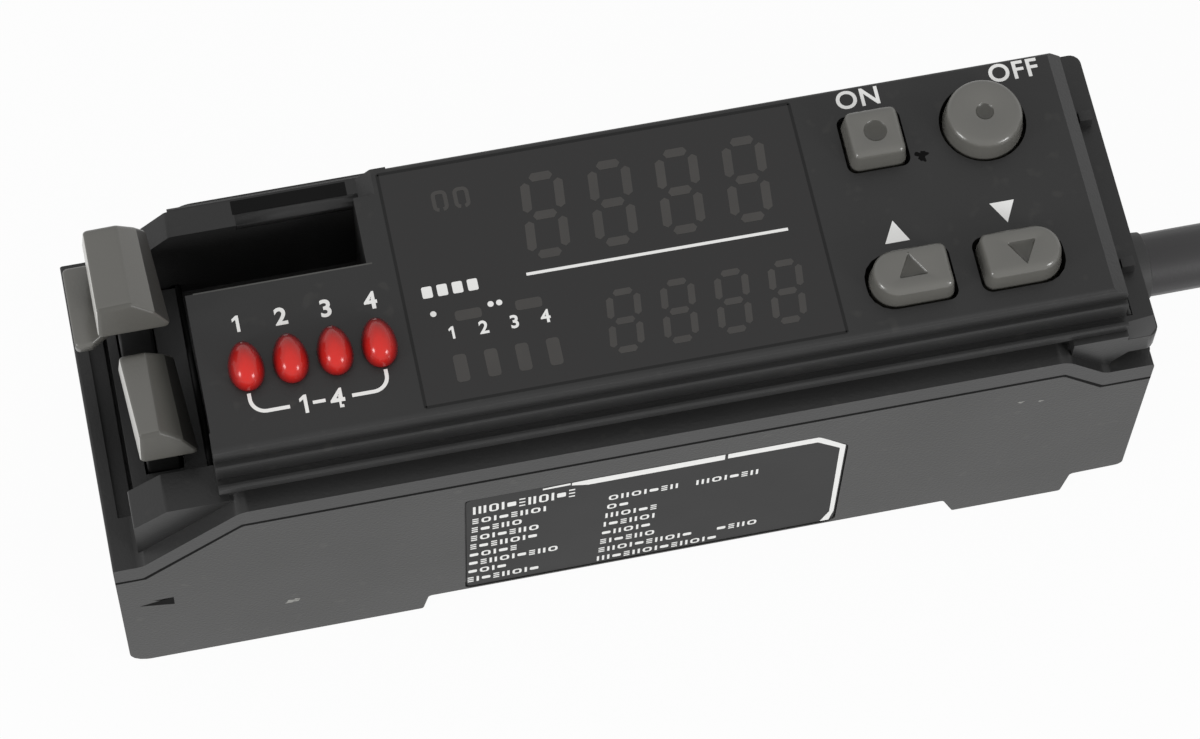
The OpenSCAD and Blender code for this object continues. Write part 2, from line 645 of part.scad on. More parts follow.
module upper_housing() color("#333333") difference() {
    union() {
        difference() {
            upper_solid();
            upper_space();
        }
        pocket_box();
        // Posts that carry the display board
        for (p = [[block_right - 1.1, 0.9 - cav_hw], [window_end + 0.9, 0.9 - cav_hw],
            [window_end + 0.9, cav_hw - 0.9], [panel_end - end_wall - 1.5, -1]])
            translate([p[0], p[1], display_board_z])
                cylinder(h = panel_under - display_board_z + eps, d = 1.6);
        block(window_x - 0.3, window_x + 0.8, cav_hw - 2, cav_hw - 0.5, display_board_z, panel_under + eps);
        // Lugs for the hinge of the dust cover
        for (s = [-1, 1]) block(panel_end - 0.4, right - 0.5, s * lug_pitch / 2 - lug_w / 2,
            s * lug_pitch / 2 + lug_w / 2, cap_z - 0.5, cap_z + 0.9);
    }
    // Lever bay, open at the top
    block(left + bay_wall, left + block_x, bay_front, bay_back, 0, top_z + 5);
    // Inner step of the rim on the bay's end wall
    block(left + bay_rim, left + bay_wall + eps, bay_front, bay_back, seam_left_z + band_h - bay_step,
        top_z + 5);
    // Pocket
    block(left + block_x - 1, pocket_end, pocket_front, bay_back, pocket_z, top_z + 5);
    // Shallow notch in the wall behind the pocket
    block(left + notch_start, pocket_end + 0.4, bay_back - eps, bay_back + 0.8, back_wall_z - 0.6,
        top_z + 1);
    // Lower top of the wall behind the pocket
    along_y(bay_back - eps, hw + 1)
        polygon([[left + block_x - 1, back_wall_z], [wall_step_x - 1, back_wall_z],
        [wall_step_x, top_z], [wall_step_x, top_z + 1], [left + block_x - 1, top_z + 1]]);
    // Bevel at the cable end of the panel
    along_y(-hw - 1, hw + 1) polygon([[panel_end - bevel, top_z], [panel_end + eps, top_z - 0.9 * bevel],
        [panel_end + 5, top_z - 0.9 * bevel], [panel_end + 5, top_z + 1], [panel_end - bevel, top_z + 1]]);
    // Hollow in each side of the stepped end, on top of the band
    hollow_z = seam_right_z + band_h;
    for (y = [-hw - 1, hw - rail_inset - hollow_d]) along_y(y, y + 1 + rail_inset + hollow_d)
        polygon([[right - hollow_l, hollow_z], [right + 1, hollow_z], [right + 1, hollow_z + hollow_h],
            [right - hollow_l + 1, hollow_z + hollow_h], [right - hollow_l, hollow_z + 0.3]]);
    // Groove between the panel and the stepped end
    block(panel_end + 0.35, panel_end + 0.75, -panel_hw, panel_hw, cap_z - 0.5, top_z);
    window_opening();
    for (kind = ["mode", "set", "up", "down"])
        translate([key_pos(kind)[0], key_pos(kind)[1], 0]) along_z(panel_under - 1, top_z + 1)
            key_outline(kind, key_gap);
    for (i = [0 : light_count - 1])
        translate([light_x + i * light_pitch, light_y, panel_under - 1]) cylinder(h = 5, d = 1.6);
}

module display_window() color("#1c1a1a")
    block(window_x, window_end, -window_w / 2, window_w / 2, top_z - window_t + 0.02, top_z);

// Red light cap: oval dome over a round stem that ends above its light chip
module output_light(i) color("#c8282c") translate([light_x + i * light_pitch, light_y, 0]) {
    translate([0, 0, top_z + 0.02]) scale([1, light_oval, 1]) rotate_extrude($fn = 28)
        polygon([for (t = [0 : 15 : 90]) [light_d / 2 * cos(t), (light_h - 0.02) * sin(t)], [0, 0]]);
    translate([0, 0, display_board_z + 0.8])
        cylinder(h = top_z - display_board_z - 0.78, d = 1.5, $fn = 24);
}

// Key: rounded cap, flange under the panel and stem down to its switch
module key(kind) {
    flange_top = panel_under - 0.05;
    stem_z = display_board_z + switch_h + plunger_h + key_travel + 0.05;
    translate([key_pos(kind)[0], key_pos(kind)[1], 0]) difference() {
        union() {
            if (kind == "set") rotate_extrude() polygon(rounded([[0, flange_top], [set_d / 2, flange_top],
                [set_d / 2 - 0.1, top_z + key_h], [0, top_z + key_h]], [0, 0, 0.45, 0]));
            else intersection() {
                along_z(flange_top, top_z + key_h) key_outline(kind, 0);
                along_y(-5, 5) polygon(rounded([[-5, flange_top], [5, flange_top], [5, top_z],
                    [key_half(kind)[0] - 0.15, top_z + key_h], [-key_half(kind)[0] + 0.15, top_z + key_h],
                    [-5, top_z]], [0, 0, 0, 0.5, 0.5, 0]));
                along_x(-5, 5) polygon(rounded([[-5, flange_top], [5, flange_top], [5, top_z],
                    [key_half(kind)[1] - 0.25, top_z + key_h], [-key_half(kind)[1] + 0.25, top_z + key_h],
                    [-5, top_z]], [0, 0, 0, 0.5, 0.5, 0]));
            }
            along_z(flange_top - 0.8, flange_top) key_outline(kind, key_flange);
            along_z(stem_z, flange_top) circle(d = 1.8);
        }
        if (kind == "mode" || kind == "set") translate([0, 0.25, top_z + key_h - 0.15])
            cylinder(h = 1, d = kind == "mode" ? mode_dimple : set_dimple);
        else along_z(top_z + key_h - 0.12, top_z + key_h + 1) polygon(arrow_points(kind, 1.7));
    }
}
function key_half(kind) = kind == "mode" ? [mode_w / 2, mode_w / 2] : [arrow_l / 2, arrow_w / 2];
function arrow_points(kind, w) = let (s = kind == "up" ? 1 : -1)
    [[-w / 2, -s * w * 0.4], [w / 2, -s * w * 0.4], [0, s * w * 0.45]];

module mode_button() color("#6e6d68") key("mode");
module set_button() color("#6e6d68") key("set");
module up_button() color("#6e6d68") key("up");
module down_button() color("#6e6d68") key("down");

// Lock lever: roof-shaped grip on a stem that slides in the fibre holder
module lock_lever(y, z) translate([y == back_lever_y ? lever_x - lever_shift : lever_x, y, z]) {
    stem_end = holder_top_z - lever_z - 0.6;
    intersection() {
        along_y(-lever_w / 2, lever_w / 2)
            polygon(rounded([[-grip_fibre_l, -grip_h], [grip_block_l, -grip_h],
            [grip_block_l - grip_face_draft, -grip_face_drop], [0, 0], [-grip_top_l, -grip_top_drop]],
            [0.3, 0.3, 0.3, 0.4, 0.35]));
        along_x(-grip_fibre_l - 1, grip_block_l + 1)
            polygon(rounded([[-lever_w / 2, -grip_h], [lever_w / 2, -grip_h],
            [lever_w / 2 - lever_draft, 0], [-lever_w / 2 + lever_draft, 0]], [0.2, 0.2, 0.35, 0.35]));
    }
    block(-stem_l / 2, stem_l / 2, -stem_w / 2, stem_w / 2, stem_end, -grip_h + 0.5);
}

module back_lock_lever() color("#706f6a") {
    lock_lever(back_lever_y, lever_z + lever_travel);
    // Outer tab of the raised lever
    translate([lever_x - lever_shift, back_lever_y, lever_z + lever_travel])
        along_z(-tab_drop, -tab_drop + tab_t)
        polygon(rounded(box_points(-tab_reach, 0, -tab_w / 2, tab_w / 2), [0.3, 0, 0, 0.3]));
}

module front_lock_lever() color("#706f6a") lock_lever(front_lever_y, lever_z);

module side_label() color("#1e1e1e") along_y(-hw + sticker_recess - sticker_t, -hw + sticker_recess)
    sticker_outline(0);

// Block with the fibre bores and the guides for the lever stems
module fibre_holder() color("#2a2a2a") difference() {
    union() {
        block(holder_x, holder_end, bay_front + lever_gap, bay_back - lever_gap, holder_z, holder_top_z);
        block(holder_x, left + block_x - 0.4, bay_front + lever_gap, bay_back - lever_gap, holder_z,
            guide_z);
        // Snout that fills the notch in the end wall
        block(left + snout_inset, holder_x + eps, bay_front + lever_gap, bay_back - lever_gap,
            snout_z, seam_left_z - snout_gap);
    }
    for (y = fibre_ys) {
        hole_x(left - 1, holder_end + 1, y, fibre_z, fibre_d);
        translate([left + snout_inset - eps, y, fibre_z]) rotate([0, 90, 0])
            cylinder(h = mouth + eps, d1 = fibre_d + 2 * mouth, d2 = fibre_d);
    }
    for (p = [[lever_x, front_lever_y], [lever_x - lever_shift, back_lever_y]])
        block(p[0] - stem_l / 2 - stem_gap, p[0] + stem_l / 2 + stem_gap,
            p[1] - stem_w / 2 - stem_gap, p[1] + stem_w / 2 + stem_gap, holder_top_z - 0.9, guide_z + 1);
}

// Round light parts behind the bores: cylinder with a domed nose and a flange
module opto_can(y) translate([holder_end + 0.2, y, fibre_z]) rotate([0, 90, 0]) rotate_extrude($fn = 32)
    polygon(rounded([[0, 0], [1.1, 0], [1.1, 1.8], [1.45, 1.8], [1.45, 2.4], [0, 2.4]],
        [0, 0.6, 0, 0, 0, 0]));

module emitter_leds() color("#d8d8d0") for (y = [fibre_ys[0], fibre_ys[2]]) opto_can(y);
module receiver_diodes() color("#3a3440") for (y = [fibre_ys[1], fibre_ys[3]]) opto_can(y);

module optics_board() color("#2f6b45") {
    x = holder_end + 0.2 + 2.4;
    block(x, x + board_t, -hw + case_wall + 0.4, hw - case_wall - 0.4, case_wall + 0.1,
        pocket_z - pocket_wall - 0.3);
}

module display_board() color("#2f6b45") {
    z0 = display_board_z - board_t;
    block(block_right - eps, panel_end - end_wall - 0.3, -cav_hw + 0.15, cav_hw - 0.15, z0,
        display_board_z);
    block(left + block_x + pocket_wall + 0.3, block_right, -cav_hw + 0.15, pocket_front - pocket_wall - 0.3,
        z0, display_board_z);
}

// Digit module: housing with one recess for each segment
module digit_segments(w, h, t) {
    for (s = [-1, 0, 1]) translate([-w / 2 + t * 0.8, s * (h - t) / 2 - t / 2]) square([w - 1.6 * t, t]);
    for (sx = [-1, 1], sy = [-1, 1]) translate([sx * (w - t) / 2 - t / 2, sy * h / 4 - h / 4 + t * 0.8])
        square([t, h / 2 - 1.6 * t]);
}
module digit_module(start, end, y, tall) {
    top = display_board_z + digit_h;
    pitch = (end - start) / 4;
    difference() {
        block(start, end, y - tall / 2, y + tall / 2, display_board_z, top);
        for (i = [0.5 : 3.5]) translate([start + i * pitch, y, 0])
            along_z(top - 0.3, top + 1) digit_segments(0.48 * pitch, tall - 2 * digit_wall, 0.42);
    }
}
module upper_digits() color("#2b2626")
    digit_module(window_x + upper_start, window_end - upper_end, digit_y2, upper_tall);
module lower_digits() color("#2b2626")
    digit_module(window_x + lower_start, window_end - lower_end, digit_y1, lower_tall);

// Block under the window with four bars and two small lights
module indicator_bars() color("#2b2626") difference() {
    x0 = window_x + bars_start;
    top = display_board_z + digit_h;
    pitch = (bars_l - 2.7) / 3;
    block(x0, x0 + bars_l, digit_low, digit_low + lower_tall, display_board_z, top);
    for (i = [0 : 3])
        block(x0 + 0.65 + i * pitch, x0 + 1.75 + i * pitch, digit_low + 0.5, digit_low + 2.7, top - 0.3,
            top + 1);
    for (i = [0, bars_l / 2 - 0.3])
        block(x0 + 1.15 + i, x0 + 2.95 + i, digit_low + 4.7, digit_low + 5.3, top - 0.3, top + 1);
}

module output_leds() color("#e8e0c8") for (i = [0 : light_count - 1])
    block(light_x + i * light_pitch - 0.8, light_x + i * light_pitch + 0.8, light_y - 0.4, light_y + 0.4,
        display_board_z, display_board_z + 0.6);

module tact_switch(kind) translate([key_pos(kind)[0], key_pos(kind)[1], display_board_z]) {
    along_z(0, switch_h) polygon(rounded(box_points(-switch_w / 2, switch_w / 2, -switch_w / 2,
        switch_w / 2), [0.3, 0.3, 0.3, 0.3]));
    cylinder(h = switch_h + plunger_h, d = 1.8);
}
module mode_switch() color("#b8b8b4") tact_switch("mode");
module set_switch() color("#b8b8b4") tact_switch("set");
module up_switch() color("#b8b8b4") tact_switch("up");
module down_switch() color("#b8b8b4") tact_switch("down");

module main_board() color("#2f6b45")
    block(main_x, main_end, -hw + case_wall + 0.3, hw - case_wall - 0.3, main_board_z - board_t,
        main_board_z);

module processor_chip() color("#1a1a1a")
    block(main_mid - chip_l / 2, main_mid + chip_l / 2, -chip_l / 2, chip_l / 2, main_board_z,
        main_board_z + 1);

module capacitors() color("#33404a") for (i = [2, 3.25])
    translate([main_x + i * can_d, 0.75 * can_d, main_board_z]) cylinder(h = can_h, d = can_d);

module board_header() color("#202020")
    block(key_x1 - header_l / 2, key_x1 + header_l / 2, -header_w / 2, header_w / 2,
        main_board_z, display_board_z - board_t);

module lead_terminal() color("#d0d0c8")
    block(main_end - 2 - terminal_l, main_end - 2, -terminal_w / 2, terminal_w / 2,
        main_board_z, main_board_z + terminal_h);

module cable_leads() color("#8a5a3a") for (i = [-1.5 : 1.5])
    hole_x(main_end - 2, right - end_wall - 1, i * 1.1, cable_z, 0.9);

module rail_latch() color("#3a3a3a") {
    neck = latch_w / 2 - latch_lip;
    // Nose, slider neck and slider rails
    along_y(-neck, neck) polygon([[latch_x, 0.25], [latch_x + 1, 0.1], [latch_x + latch_l, 0.1],
        [latch_x + latch_l, latch_neck_h + latch_rail_h], [slot_end + 0.9, latch_neck_h + latch_rail_h],
        [slot_end + 0.9, hook_h], [latch_x, hook_h]]);
    block(slot_end + 0.9, latch_x + latch_l, -latch_w / 2, latch_w / 2,
        latch_neck_h + 0.1, latch_neck_h + latch_rail_h);
    // Post that pushes the spring
    block(latch_post_x, latch_post_x + 0.8, -spring_d / 2, spring_d / 2,
        latch_neck_h + latch_rail_h - eps, spring_z + spring_d / 2);
}

// Compression spring as stacked rings
module latch_spring() color("#b0b0b0") {
    x0 = latch_post_x + 0.8;
    turns = 6;
    for (i = [0 : turns - 1])
        translate([x0 + spring_wire / 2 + i * (spring_l - spring_wire) / (turns - 1), 0, spring_z])
        rotate([0, 90, 0]) rotate_extrude($fn = 24) translate([spring_d / 2 - spring_wire / 2, 0])
            circle(d = spring_wire, $fn = 16);
}

module cable_bush() color("#2c2c2c") translate([right, 0, cable_z]) rotate([0, 90, 0]) rotate_extrude()
    polygon(rounded([[0, -end_wall - 1], [bush_flange_d / 2, -end_wall - 1],
        [bush_flange_d / 2, -end_wall - 0.1],
        [bush_neck_d / 2, -end_wall - 0.1], [bush_neck_d / 2, 0.1], [bush_flange_d / 2 - 0.3, 0.1],
        [bush_flange_d / 2 - 0.3, 0.6], [cable_d / 2 + 0.35, 0.7], [cable_d / 2 + 0.15, bush_out],
        [0, bush_out]], [0, 0.2, 0, 0, 0, 0.15, 0.15, 0.05, 0.1, 0]));

// Tube swept along the route: one ring of points for each route point
module cable_tube() color("#4d4b4e") {
    sides = 8;
    n = len(cable_route);
    dirs = [for (i = [0 : n - 1]) unit(cable_route[min(i + 1, n - 1)] - cable_route[max(i - 1, 0)])];
    across = [for (d = dirs) unit(cross([0, 0, 1], d))];
    pts = [for (i = [0 : n - 1], k = [0 : sides - 1]) let (a = 360 * (k + 0.5) / sides)
        cable_route[i] + cable_d / 2 * (cos(a) * across[i] + sin(a) * cross(dirs[i], across[i]))];
    faces = concat([[for (k = [0 : sides - 1]) k]], [[for (k = [sides - 1 : -1 : 0]) (n - 1) * sides + k]],
        [for (i = [0 : n - 2], k = [0 : sides - 1]) let (a = i * sides + k, b = i * sides + (k + 1) % sides)
            [a, a + sides, b + sides, b]]);
    polyhedron(pts, faces, convexity = 4);
}

// Outline of the folded cable: two half circles joined by straight runs
module hank_outline(r) {
    for (x = [hank_x + hank_w / 2, hank_x + hank_l - hank_w / 2]) translate([x, hank_y]) circle(r = r);
    translate([hank_x + hank_w / 2, hank_y - r]) square([hank_l - hank_w, 2 * r]);
}

module cable_hank() color("#4d4b4e") difference() {
    along_z(hank_z, hank_z + hank_h) hank_outline(hank_w / 2);
    along_z(hank_z - 1, hank_z + hank_h + 1) hank_outline(hank_w / 2 - hank_bundle);
}

// Ties: one band round each straight run of the hank
module cable_ties() color("#303030") for (side = [-1, 1])
    translate([0, hank_y + side * (hank_w - hank_bundle) / 2, 0]) along_x(tie_x, tie_x + tie_w)
        difference() {
        half = hank_bundle / 2;
        polygon(rounded(box_points(-half - tie_t, half + tie_t, hank_z - tie_t, hank_z + hank_h + tie_t),
            [1, 1, 1, 1]));
        translate([-half, hank_z]) square([2 * half, hank_h]);
    }

lower_case();
upper_housing();
display_window();
output_light(0);  // output_light_1
output_light(1);  // output_light_2
output_light(2);  // output_light_3
output_light(3);  // output_light_4
mode_button();
set_button();
up_button();
down_button();
back_lock_lever();
front_lock_lever();
side_label();
fibre_holder();
emitter_leds();
receiver_diodes();
optics_board();
display_board();
upper_digits();
lower_digits();
indicator_bars();
output_leds();
mode_switch();
set_switch();
up_switch();
down_switch();
main_board();
processor_chip();
capacitors();
board_header();
lead_terminal();
cable_leads();
rail_latch();
latch_spring();
cable_bush();
cable_tube();
cable_hank();
cable_ties();
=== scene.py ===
import logging
import math
from dataclasses import dataclass, field
from enum import Enum

import bmesh
import bpy
import numpy as np
from mathutils import Matrix, Vector


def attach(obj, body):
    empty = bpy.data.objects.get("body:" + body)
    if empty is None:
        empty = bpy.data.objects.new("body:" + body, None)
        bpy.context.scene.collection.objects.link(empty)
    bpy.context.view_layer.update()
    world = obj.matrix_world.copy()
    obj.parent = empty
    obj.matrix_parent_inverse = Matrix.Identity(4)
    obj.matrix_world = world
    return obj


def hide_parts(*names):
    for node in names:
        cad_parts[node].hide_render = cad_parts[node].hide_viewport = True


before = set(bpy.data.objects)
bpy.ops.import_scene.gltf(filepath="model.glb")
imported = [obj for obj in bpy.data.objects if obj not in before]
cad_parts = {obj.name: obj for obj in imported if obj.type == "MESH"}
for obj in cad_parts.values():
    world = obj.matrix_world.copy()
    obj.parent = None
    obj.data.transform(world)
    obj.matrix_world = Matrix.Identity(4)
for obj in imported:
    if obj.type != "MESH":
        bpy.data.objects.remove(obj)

log = logging.getLogger("amplifier")
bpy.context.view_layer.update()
MM = 0.001


class Face(Enum):
    """Which way a flat print lies: on the panel, or on the front side of the body."""

    TOP = "top"
    FRONT = "front"


class KeyShape(Enum):
    """Outline of a key cap."""

    SQUARE = "square"
    ROUND = "round"
    LEFT_ROUND = "left round"
    RIGHT_ROUND = "right round"


class Mark(Enum):
    """Plain mark in a row on the sticker, with its width in millimetres."""

    RING = 0.62
    BARS = 0.5
    DASHES = 0.4
    BLOCK = 0.58
    BAR = 0.16


def rgba(code: str) -> tuple[float, float, float, float]:
    """Turn a colour written as six hex digits into linear light.

    Args:
        code: colour as it should look on screen, such as "5c5c5a".

    Returns:
        Red, green, blue and an alpha of 1.
    """
    values = [int(code[i:i + 2], 16) / 255 for i in (0, 2, 4)]
    linear = [v / 12.92 if v <= 0.04045 else ((v + 0.055) / 1.055) ** 2.4 for v in values]
    return (*linear, 1.0)


class Group:
    """Builds a shader node group once, and places it in materials."""

    made: dict[str, bpy.types.NodeTree] = {}

    @classmethod
    def mottle(cls) -> bpy.types.NodeTree:
        """Return the group that varies a colour and a roughness over a surface and gives a grain height.

        Large noise shifts the tone and the roughness, small noise gives the moulded grain, and the peaks of a third
        noise become pale specks.

        Returns:
            The group's node tree, made on first use.
        """
        if "mottle" in cls.made:
            return cls.made["mottle"]
        tree = bpy.data.node_groups.new("mottle", "ShaderNodeTree")
        inputs = (("Colour", "NodeSocketColor", None), ("Tone", "NodeSocketFloat", 0.1),
                  ("Grain scale", "NodeSocketFloat", 4000.0), ("Patch scale", "NodeSocketFloat", 90.0),
                  ("Roughness", "NodeSocketFloat", 0.5), ("Roughness spread", "NodeSocketFloat", 0.1),
                  ("Dust", "NodeSocketFloat", 0.0))
        for name, kind, value in inputs:
            socket = tree.interface.new_socket(name, in_out="INPUT", socket_type=kind)
            if value is not None:
                socket.default_value = value
        for name, kind in (("Colour", "NodeSocketColor"), ("Roughness", "NodeSocketFloat"),
                           ("Height", "NodeSocketFloat")):
            tree.interface.new_socket(name, in_out="OUTPUT", socket_type=kind)
        n, link = tree.nodes, tree.links.new
        src, out = n.new("NodeGroupInput"), n.new("NodeGroupOutput")
        place = n.new("ShaderNodeTexCoord")
        patch, grain, specks = (n.new("ShaderNodeTexNoise") for _ in range(3))
        for noise, detail in ((patch, 4.0), (grain, 2.0), (specks, 1.0)):
            link(place.outputs["Object"], noise.inputs["Vector"])
            noise.inputs["Detail"].default_value = detail
        link(src.outputs["Patch scale"], patch.inputs["Scale"])
        link(src.outputs["Grain scale"], grain.inputs["Scale"])
        specks.inputs["Scale"].default_value = 900.0
        # Tone: value = 1 + tone * (patch - 0.5) * 2
        swing = cls._math(tree, "MULTIPLY_ADD", patch.outputs["Fac"], 2.0, -1.0)
        swing = cls._math(tree, "MULTIPLY_ADD", swing, src.outputs["Tone"], 1.0)
        tone = n.new("ShaderNodeHueSaturation")
        link(swing, tone.inputs["Value"])
        link(src.outputs["Colour"], tone.inputs["Color"])
        # Dust: pale specks where the third noise peaks
        peak = n.new("ShaderNodeMapRange")
        peak.inputs["From Min"].default_value = 0.66
        peak.inputs["From Max"].default_value = 0.78
        link(specks.outputs["Fac"], peak.inputs["Value"])
        amount = cls._math(tree, "MULTIPLY", peak.outputs["Result"], src.outputs["Dust"])
        dusty = n.new("ShaderNodeMix")
        dusty.data_type = "RGBA"
        link(amount, dusty.inputs[0])
        link(tone.outputs["Color"], dusty.inputs[6])
        dusty.inputs[7].default_value = rgba("a8a59c")
        link(dusty.outputs[2], out.inputs["Colour"])
        rough = cls._math(tree, "SUBTRACT", patch.outputs["Fac"], 0.5)
        rough = cls._math(tree, "MULTIPLY_ADD", rough, src.outputs["Roughness spread"], src.outputs["Roughness"])
        link(rough, out.inputs["Roughness"])
        link(grain.outputs["Fac"], out.inputs["Height"])
        cls.made["mottle"] = tree
        return tree

    @staticmethod
    def _math(tree: bpy.types.NodeTree, operation: str, *values: object) -> bpy.types.NodeSocket:
        """Add one Math node fed by sockets or plain numbers.

        Args:
            tree: node tree that gets the node.
            operation: Blender's name of the operation.
            values: a socket or a number for each input.

        Returns:
            The node's output socket.
        """
        node = tree.nodes.new("ShaderNodeMath")
        node.operation = operation
        for socket, value in zip(node.inputs, values):
            if isinstance(value, bpy.types.NodeSocket):
                tree.links.new(value, socket)
            else:
                socket.default_value = value
        return node.outputs[0]


@dataclass(frozen=True)
class Finish:
    """Procedural finish of one surface: colour, gloss and the marks that moulding and use leave.

    Attributes:
        name: name of the material.
        slot: the record's material slot that it belongs to.
        colour: main colour as hex.
        roughness: mean roughness.
        tone: how far patches differ in brightness.
        grain: depth of the moulded grain, in metres.
        grain_scale: grains per metre.
        patch_scale: patches per metre.
        spread: how far the roughness varies.
        specular: specular level of the surface.
        metallic: 1 on bare metal.
        coat: weight of a clear coat.
        dust: amount of pale specks.
        subsurface: how much light goes through the outer layer.
        rim: painted shade, a darker colour where the surface turns away from the camera, if it differs.
    """

    name: str
    slot: str
    colour: str
    roughness: float = 0.5
    tone: float = 0.08
    grain: float = 0.00001
    grain_scale: float = 5000.0
    patch_scale: float = 90.0
    spread: float = 0.12
    specular: float = 0.5
    metallic: float = 0.0
    coat: float = 0.0
    dust: float = 0.0
    subsurface: float = 0.0
    rim: str = ""

    def material(self) -> bpy.types.Material:
        """Build the Blender material on first use, and hand it out from then on.

        Returns:
            The material.
        """
        if self.name in bpy.data.materials:
            return bpy.data.materials[self.name]
        made = bpy.data.materials.new(self.name)
        made.use_nodes = True
        n, link = made.node_tree.nodes, made.node_tree.links.new
        shader = n["Principled BSDF"]
        mottle = n.new("ShaderNodeGroup")
        mottle.node_tree = Group.mottle()
        for socket, value in (("Colour", rgba(self.colour)), ("Tone", self.tone), ("Grain scale", self.grain_scale),
                              ("Patch scale", self.patch_scale), ("Roughness", self.roughness),
                              ("Roughness spread", self.spread), ("Dust", self.dust)):
            mottle.inputs[socket].default_value = value
        bump = n.new("ShaderNodeBump")
        bump.inputs["Strength"].default_value = 1.0
        bump.inputs["Distance"].default_value = self.grain
        link(mottle.outputs["Height"], bump.inputs["Height"])
        base = mottle.outputs["Colour"]
        # Painted shade: the colour darkens to the rim colour where the surface faces away from the camera
        if self.rim:
            weight, reach, blend = (n.new(f"ShaderNode{kind}") for kind in ("LayerWeight", "MapRange", "Mix"))
            reach.inputs["From Min"].default_value = 0.1
            reach.inputs["From Max"].default_value = 0.75
            blend.data_type = "RGBA"
            blend.inputs[7].default_value = rgba(self.rim)
            link(weight.outputs["Facing"], reach.inputs["Value"])
            link(reach.outputs["Result"], blend.inputs[0])
            link(base, blend.inputs[6])
            base = blend.outputs[2]
        link(base, shader.inputs["Base Color"])
        link(mottle.outputs["Roughness"], shader.inputs["Roughness"])
        link(bump.outputs["Normal"], shader.inputs["Normal"])
        for socket, value in (("Specular IOR Level", self.specular), ("Metallic", self.metallic),
                              ("Coat Weight", self.coat), ("Subsurface Weight", self.subsurface)):
            shader.inputs[socket].default_value = value
        shader.inputs["Subsurface Radius"].default_value = (0.0008, 0.0003, 0.0002)
        made.diffuse_color = rgba(self.colour)
        return made


CASE = Finish("case plastic", "case_plastic", "181817", roughness=0.42, tone=0.3, grain=0.00002, dust=0.03)
HOUSING = Finish("housing plastic", "housing_plastic", "262626", roughness=0.4, tone=0.2, grain=0.000012, dust=0.02,
                 specular=0.3)
WINDOW = Finish("smoked window", "smoked_window", "151414", roughness=0.2, tone=0.05, grain=0.000001,
                specular=0.42)
# The red lens has painted shade: its sides turn dark red through the rim colour
LENS = Finish("red lens", "red_lens", "c8261f", roughness=0.17, tone=0.04, grain=0.0, subsurface=0.1,
              specular=0.32, rim="641014")
GREY = Finish("grey key plastic", "grey_plastic", "5f5e5a", roughness=0.22, tone=0.1, grain=0.000008)
LEVER = Finish("grey lever plastic", "lever_plastic", "5c5b57", roughness=0.3, tone=0.12, grain=0.00001)
LABEL = Finish("label film", "label_film", "0e0e0e", roughness=0.4, tone=0.06, grain=0.000003, specular=0.15)
PALE = Finish("pale print", "label_film", "e6e6e4", roughness=0.5, tone=0.04, grain=0.0)
INNER = Finish("inner plastic", "inner_plastic", "1c1c1c", roughness=0.5)
RESIN = Finish("clear resin", "clear_resin", "d8d4c8", roughness=0.2, grain=0.0)
DARK_RESIN = Finish("dark resin", "dark_resin", "3a3440", roughness=0.2, grain=0.0)
BOARD = Finish("circuit board", "circuit_board", "2f6b45", roughness=0.35, tone=0.15, coat=0.3)
STEEL = Finish("switch metal", "switch_metal", "b8b8b4", roughness=0.3, metallic=1.0)
CAN = Finish("capacitor can", "capacitor_can", "8c9096", roughness=0.3, metallic=1.0)
LEAD = Finish("lead insulation", "lead_copper", "8a5a3a", roughness=0.4)
LATCH = Finish("latch plastic", "latch_plastic", "2a2a2a", roughness=0.45)
SPRING = Finish("spring steel", "spring_steel", "b0b0b0", roughness=0.25, metallic=1.0)
BUSH = Finish("bush rubber", "bush_rubber", "2b2b2b", roughness=0.6)
JACKET = Finish("cable jacket", "cable_jacket", "282728", roughness=0.45, tone=0.15, grain=0.00001)
STRAP = Finish("tie strap", "tie_strap", "2a2a2b", roughness=0.55, tone=0.1, grain=0.00003, grain_scale=1500.0)
SEGMENT = Finish("unlit segment", "inner_plastic", "343230", roughness=0.3, tone=0.25, patch_scale=400.0,
                 grain=0.0, specular=0.45)
# Painted shade: a darker copy of the key plastic, for the pressed mark and the flange under the panel
RECESS_SHADE = Finish("painted recess shade", "grey_plastic", "3a3934", roughness=0.35)
# Dark smudge on the panel, and painted shade in the seam and in the sunk triangle
SMUDGE_AND_SHADE = Finish("dark smudge and painted shade", "housing_plastic", "060606", roughness=0.8, grain=0.0, specular=0.1)
# Painted shade: a near-black copy of the housing plastic
SHADE = Finish("shaded moulding", "housing_plastic", "0c0c0c", roughness=0.6, grain=0.0, specular=0.1)
# Painted highlight: a paler copy of the housing plastic, for a lit edge
PAINTED_HIGHLIGHT = Finish("painted edge highlight", "housing_plastic", "4a4a48", roughness=0.6, tone=0.3, grain=0.0, specular=0.3)
FRAME = Finish("window joint", "housing_plastic", "101010", roughness=0.5, grain=0.0, specular=0.25)
# Painted light: a paler copy of the housing plastic, for the lit facet of the step
FACET = Finish("lit facet", "housing_plastic", "484848", roughness=0.5, tone=0.2, grain=0.0, specular=0.4)
# Painted light and shade on the lever plastic: a darker copy for the end, a near-black copy for the steep face and a
# pale copy for the fibre side
LEVER_END_SHADE = Finish("lever end painted shade", "lever_plastic", "504f4b", roughness=0.4, tone=0.15, specular=0.35)
LEVER_STEEP_SHADE = Finish("lever steep face painted shade", "lever_plastic", "2e2d2b", roughness=0.45, tone=0.15, specular=0.25)
LEVER_HIGHLIGHT = Finish("lever fibre side painted highlight", "lever_plastic", "b4b3af", roughness=0.35, tone=0.1)
# Painted shade: a near-black copy of the lever plastic, for the stem under the grip
STEM_SHADE = Finish("lever stem", "lever_plastic", "191919", roughness=0.5, specular=0.2)
CHIP = Finish("pale chip", "case_plastic", "8c8c88", roughness=0.7, tone=0.3, grain=0.0)

